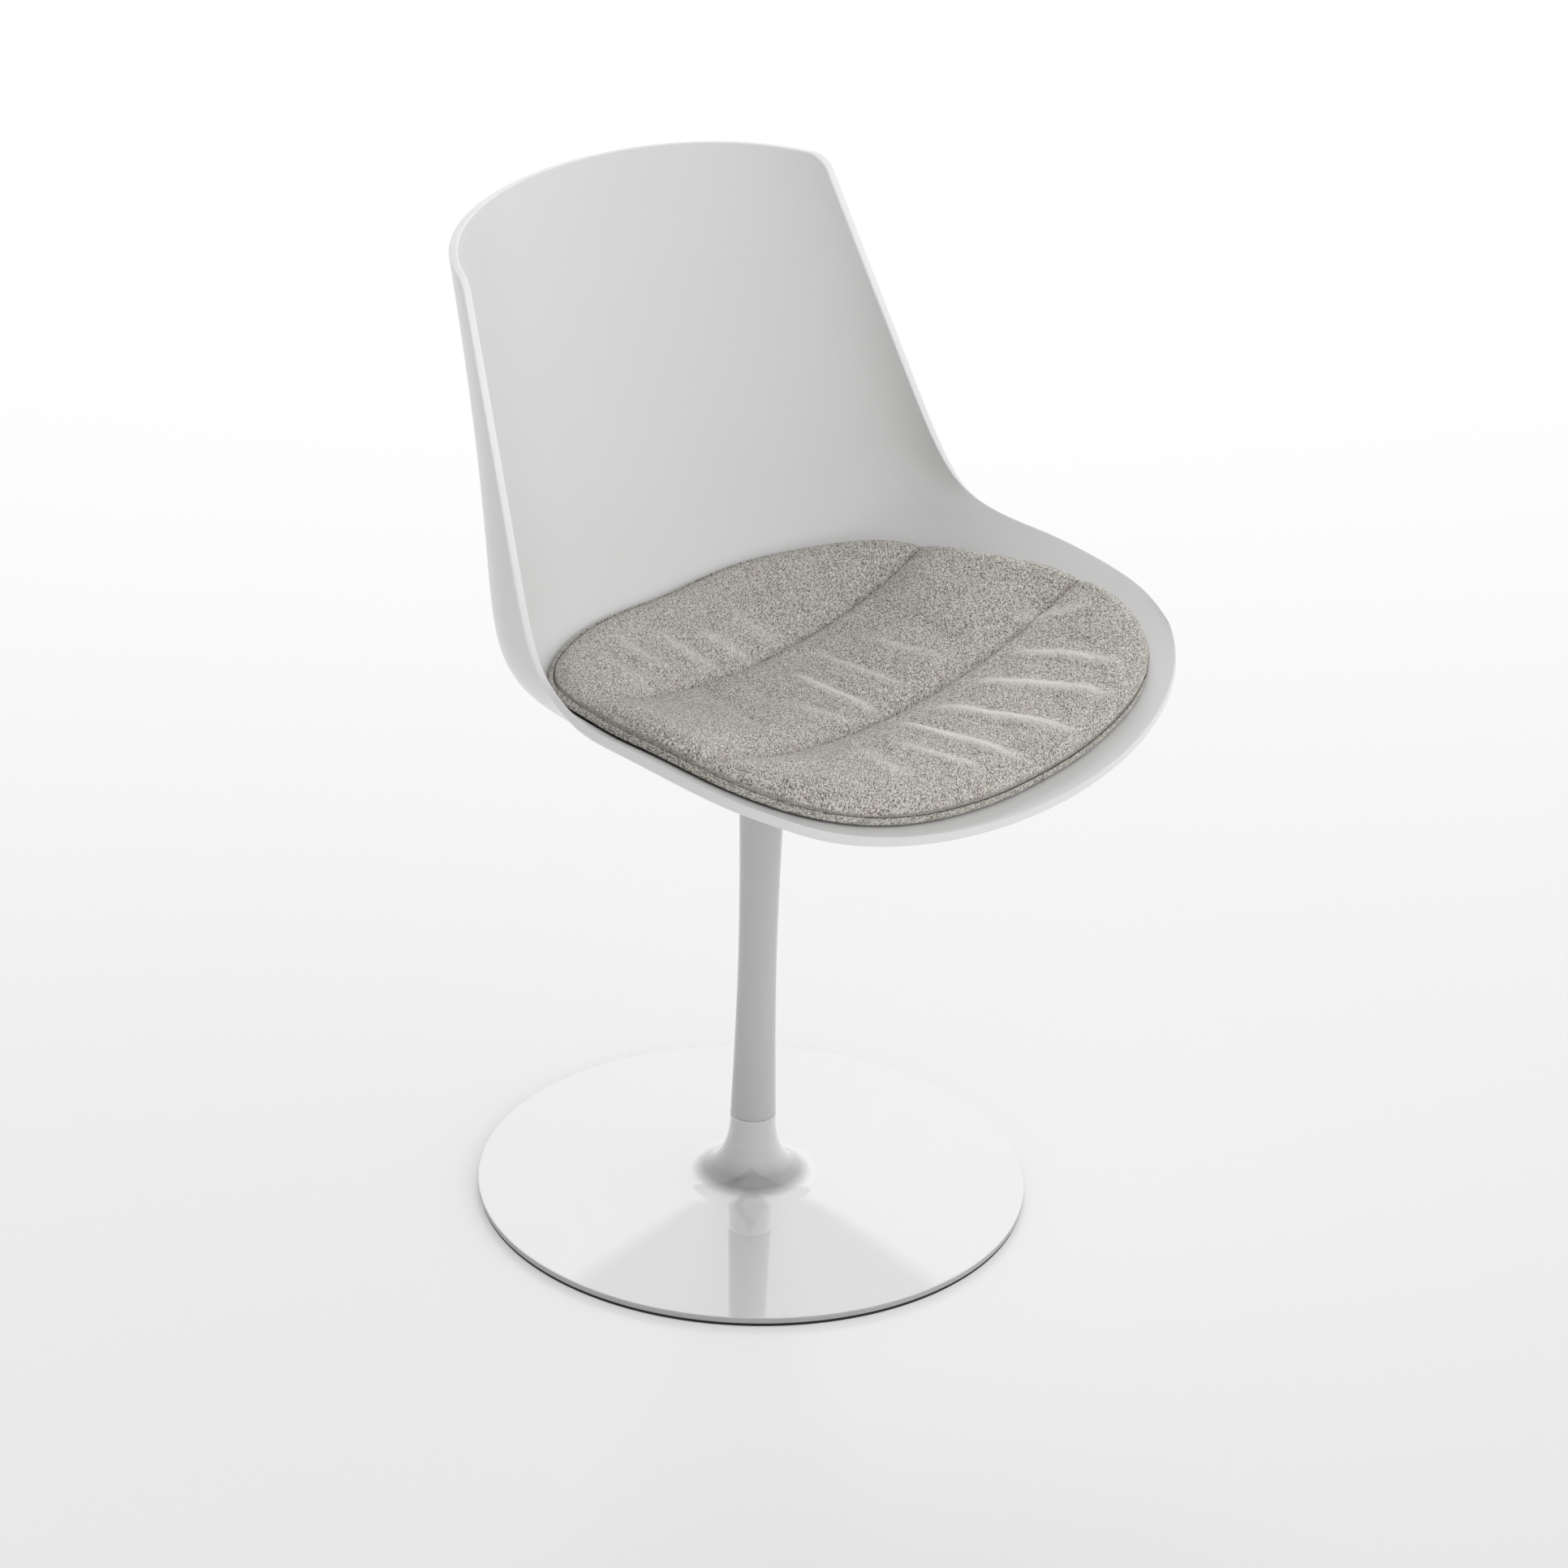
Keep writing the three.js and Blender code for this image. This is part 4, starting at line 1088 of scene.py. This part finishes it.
def fillWithPressure(points, faces, pinned):
    # the cover is sewn down at its seams and edge, and the filling presses it outward between them
    sheet = addMesh("cover_sheet", points, faces, bpy.data.materials[0])
    group = sheet.vertex_groups.new(name="sewn")
    for index in pinned:
        group.add([int(index)], 1.0, "REPLACE")
    cloth = sheet.modifiers.new("filling", "CLOTH")
    for name, value in filling.items():
        setattr(cloth.settings, name, value)
    cloth.settings.vertex_group_mass = "sewn"
    cloth.settings.effector_weights.gravity = 0
    cloth.collision_settings.use_collision = False
    cloth.point_cache.frame_start = 1
    cloth.point_cache.frame_end = cushion["frames"]
    scene = bpy.context.scene
    for number in range(1, cushion["frames"] + 1):
        scene.frame_set(number)
    graph = bpy.context.evaluated_depsgraph_get()
    settled = sheet.evaluated_get(graph).to_mesh()
    moved = np.zeros(len(settled.vertices) * 3)
    settled.vertices.foreach_get("co", moved)
    sheet.evaluated_get(graph).to_mesh_clear()
    scene.frame_set(1)
    bpy.data.objects.remove(sheet)
    start = np.array(points)
    shift = moved.reshape(-1, 3) / mm - start
    far = np.linalg.norm(shift, axis=1, keepdims=True)
    return start + shift * np.minimum(1, cushion["swell"] / np.maximum(far, 1e-9))


def halved(values):
    # puts a smooth middle point between every two along the first axis
    ends = np.concatenate([2 * values[:1] - values[1:2], values, 2 * values[-1:] - values[-2:-1]])
    out = np.empty((2 * len(values) - 1, *values.shape[1:]))
    out[::2] = values
    out[1::2] = (9 * (ends[1:-2] + ends[2:-1]) - ends[:-3] - ends[3:]) / 16
    return out


def spreadOver(values, places, newPlaces):
    # reads values, given at places along the first axis, at new places
    for _ in range(2):
        values, places = halved(values), halved(places)
    flat = values.reshape(len(values), -1)
    read = [np.interp(newPlaces, places, column) for column in flat.T]
    return np.stack(read, axis=-1).reshape(len(newPlaces), *values.shape[1:])


def addWeave(piece, places):
    # the cloth's own flat coordinates, one pair in mm for each vertex
    layer = piece.data.uv_layers.new(name="weave")
    corner = np.zeros(len(piece.data.loops), int)
    piece.data.loops.foreach_get("vertex_index", corner)
    layer.data.foreach_set("uv", (places * mm)[corner].ravel())


def weaveOver(ground, fromEdge, outward):
    # the cloth lies along the cushion's two middle lines, and its roll at the edge takes up more of it
    rows, columns = fromEdge.shape

    def walked(line, axis):
        steps = np.linalg.norm(np.diff(line, axis=0), axis=1)
        order = np.argsort(line[:, axis])
        return line[order, axis], summed(steps)[order]

    middle = ground[:, columns // 2].copy()
    middle[:, 2] += padHeight(middle[:, 1], np.full(rows, cushion["shoulder"]))
    u = np.interp(ground[..., 0], *walked(ground[rows // 2], 0))
    v = np.interp(ground[..., 1], *walked(middle, 1))
    near = np.linspace(0, cushion["shoulder"], 80)
    profile = padHeight(np.full(80, ground[rows // 2, columns // 2, 1]), near)
    run = summed(np.hypot(np.diff(near), np.diff(profile)))
    extra = (run[-1] - run) - (near[-1] - near)
    push = np.interp(fromEdge, near, extra)[..., None] * outward
    return np.stack([u, v], axis=-1) + push


def swollen():
    # how far the filling lifts the cover, on a grid of its own, with that grid's shares
    panelRows = cushion["clothRows"]
    x, y, rowShares, columnShares = makeCushionGrid(panelRows, cushion["clothColumns"], cushion["clothTight"])
    rows, columns = x.shape
    ground, normal = seatAt(x, y)
    fromEdge, _ = nearestOutline(x, y)
    flat = (ground + normal * padHeight(y, fromEdge)[..., None]).reshape(-1, 3)
    sewn = set(borderOf(rows, columns))
    for row in (panelRows[0], panelRows[0] + panelRows[1]):
        sewn.update(range(row * columns, (row + 1) * columns))
    filled = fillWithPressure(flat, gridFaces(rows, columns), sewn)
    lift = np.einsum("ij,ij->i", filled - flat, normal.reshape(-1, 3)).reshape(rows, columns)
    print("cushion filled, lifted by", round(float(lift.min()), 2), "to", round(float(lift.max()), 2), "mm")
    return lift, rowShares, columnShares


def makeCushion(material):
    x, y, rowShares, columnShares = makeCushionGrid(
        cushion["panelRows"], cushion["columns"], cushion["tight"]
    )
    rows, columns = x.shape
    ground, normal = seatAt(x, y)
    fromEdge, outward = nearestOutline(x, y)
    relief, crestHighlight = ridgeShape(x, y)
    height = padHeight(y, fromEdge) + relief
    lift, clothRowShares, clothColumnShares = swollen()
    lift = spreadOver(lift, clothRowShares, rowShares)
    lift = spreadOver(lift.T, clothColumnShares, columnShares).T
    height = height + lift * np.clip(fromEdge / cushion["calm"], 0, 1) ** 2
    top = ground + normal * height[..., None]

    # the upper border turns in under the roll, to the stitched line, and goes down to the flat underside
    border = borderOf(rows, columns)
    edge = np.stack([x, y], axis=-1).reshape(-1, 2)[border]
    step = np.roll(edge, -1, axis=0) - np.roll(edge, 1, axis=0)
    step = step / np.linalg.norm(step, axis=1, keepdims=True)
    inward = edge + cushion["turnIn"] * np.stack([-step[:, 1], step[:, 0]], axis=-1)
    under, underNormal = seatAt(inward[:, 0], inward[:, 1])
    tucked = under + underNormal * cushion["stitchHeight"]
    foot = under + underNormal * cushion["low"]
    low = (ground + normal * cushion["low"])[::2, ::2]
    lowRows, lowColumns = low.shape[:2]
    lowBorder = borderOf(lowRows, lowColumns)
    low = low.reshape(-1, 3)
    low[lowBorder] = foot[::2]

    points = np.concatenate([top.reshape(-1, 3), tucked, low])
    upper, count = rows * columns, len(border)
    ring = range(upper, upper + count)
    lowRing = [upper + count + index for index in lowBorder]
    faces = gridFaces(rows, columns) + gridFaces(lowRows, lowColumns, upper + count, True)
    faces += stackFaces([border, ring])
    for k, here in enumerate(lowRing):
        after = lowRing[(k + 1) % len(lowRing)]
        a, b, c = ring[2 * k], ring[2 * k + 1], ring[(2 * k + 2) % count]
        faces += [(here, b, a), (here, after, b), (after, c, b)]
    piece = addMesh("cushion_cover", points, faces, material)
    faceOutward(piece)
    weave = weaveOver(ground, fromEdge, outward).reshape(-1, 2)
    addWeave(piece, np.concatenate([weave, weave[border] + 1.5, low[:, :2]]))
    # painted highlight on the ridge tops, kept as a value for each point
    addValues(piece, "crestHighlight", np.concatenate([crestHighlight.ravel(), np.zeros(len(points) - upper)]))
    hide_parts("cushion_pad")
    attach(piece, "seat")
    print("cushion made,", len(piece.data.polygons), "faces")


band = {
    "steps": 520,
    "low": 1.8,
    "high": 6.8,
    # shares of the height, with the reach beyond the outline
    "section": [(0.0, 0.5), (0.35, 1.05), (0.8, 1.1), (1.15, 0.75), (1.0, -0.4), (0.95, -1.2), (0.0, -1.2)],
    "clothLength": 1300,
    "clothStart": 400,  # the strip's cloth is cut away from the cover's
    "clothStretch": 1.3,
}


def makeBand(material):
    # the boxing strip under the stitched line: its face bulges a little and its top edge turns in
    steps = band["steps"]
    points, weave = [], []
    for climb, out in band["section"]:
        x, y = outlineLoop(steps, -out)
        ground, normal = seatAt(x, y)
        height = (band["high"] - band["low"]) * climb
        points.extend(ground + normal * (band["low"] + height))
        walked = np.arange(steps) * band["clothLength"] / steps
        across = height * band["clothStretch"] + band["clothStart"] - out
        weave.extend(np.stack([walked, np.full(steps, across)], axis=-1))
    rings = [range(start, start + steps) for start in range(0, len(points), steps)]
    piece = addMesh("cushion_boxing", points, stackFaces(rings, closed=True), material)
    faceOutward(piece)
    addWeave(piece, np.array(weave))
    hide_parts("cushion_band")
    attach(piece, "seat")
    print("boxing band made")


stitch = {"steps": 900, "height": 7.4, "inset": -0.15, "pitch": 3.6, "length": 2.5, "thick": 0.5}


def stitchTree(material):
    # a closed line becomes a row of short thread bars, one at each step of the pitch
    tree = bpy.data.node_groups.new("stitch_row", "GeometryNodeTree")
    face = tree.interface
    face.new_socket("Line", in_out="INPUT", socket_type="NodeSocketGeometry")
    sizes = {}
    for name in ("Pitch", "Length", "Thick"):
        sizes[name] = face.new_socket(name, in_out="INPUT", socket_type="NodeSocketFloat").identifier
    face.new_socket("Stitches", in_out="OUTPUT", socket_type="NodeSocketGeometry")

    def add(kind, inputs=None, settings=None):
        return addNode(tree, kind, inputs, settings).outputs

    given = add("NodeGroupInput")
    line = add("GeometryNodeMeshToCurve", {"Mesh": given["Line"]})
    evenly = {"Curve": line["Curve"], "Length": given["Pitch"]}
    points = add("GeometryNodeCurveToPoints", evenly, {"mode": "LENGTH"})
    bar = add("GeometryNodeMeshUVSphere", {"Segments": 6, "Rings": 5, "Radius": 0.5})
    size = add("ShaderNodeCombineXYZ", {0: given["Thick"], 1: given["Thick"], 2: given["Length"]})
    laid = {"Points": points["Points"], "Instance": bar["Mesh"]}
    laid.update({"Rotation": points["Rotation"], "Scale": size[0]})
    placed = add("GeometryNodeInstanceOnPoints", laid)
    real = add("GeometryNodeRealizeInstances", {0: placed[0]})
    smooth = add("GeometryNodeSetShadeSmooth", {0: real[0]})
    dressed = add("GeometryNodeSetMaterial", {"Geometry": smooth[0], "Material": material})
    add("NodeGroupOutput", {0: dressed[0]})
    return tree, sizes


def makeStitches(material):
    # the thread row that lies in the groove between the cover and the boxing
    steps = stitch["steps"]
    x, y = outlineLoop(steps, stitch["inset"])
    ground, normal = seatAt(x, y)
    mesh = bpy.data.meshes.new("stitch_line")
    places = (ground + normal * stitch["height"]) * mm
    mesh.from_pydata(places.tolist(), [(k, (k + 1) % steps) for k in range(steps)], [])
    line = addObject("stitch_line", mesh)
    rows = line.modifiers.new("stitches", "NODES")
    rows.node_group, sizes = stitchTree(material)
    for name, identifier in sizes.items():
        rows[identifier] = stitch[name.lower()] * mm
    graph = bpy.context.evaluated_depsgraph_get()
    made = bpy.data.meshes.new_from_object(line.evaluated_get(graph))
    line.modifiers.clear()
    bpy.data.objects.remove(line)
    piece = addObject("cushion_stitches", made)
    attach(piece, "seat")
    print("stitches made,", len(made.polygons), "faces")


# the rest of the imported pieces


def dressNodes(finishes):
    slots = {part["node"]: part["material_slot"] for part in frame["record"]["subparts"]}
    for name, node in frame["nodes"].items():
        finish = finishes[slots[name]]
        node.data.materials.clear()
        node.data.materials.append(finish)
    print("packed pieces dressed,", len(frame["nodes"]))


def makeFloor(material):
    size = studio["floorSize"] / mm
    corners = [(-size, -size, 0), (size, -size, 0), (size, size, 0), (-size, size, 0)]
    floor = addMesh("floor", corners, [(0, 1, 2, 3)], material, smooth=False)


makeCamera()
makeStudio()
finishes = {
    "shell": makeShellFinish(),
    "lacquer": makeLacquerFinish(),
    "column_coat": makeSatinFinish("column_satin", columnFinish),
    "steel": makePlainFinish("zinc_steel"),
    "brass": makePlainFinish("turned_brass"),
    "bush": makePlainFinish("dark_acetal"),
    "rubber": makePlainFinish("floor_rubber"),
    "hook_tape": makeHookFinish(),
    "upholstery": makeClothFinish("hopsack", "weave"),
}
dressNodes(finishes)
makeFloor(makeFloorFinish())
makeShell(finishes["shell"])
makeColumn(finishes["column_coat"])
makeBase(finishes["lacquer"], makeSatinFinish("rim_satin", rimShadeFinish))
makeFloorPad(finishes["rubber"])
makeCushion(finishes["upholstery"])
makeBand(finishes["upholstery"])
makeStitches(makeThreadFinish())
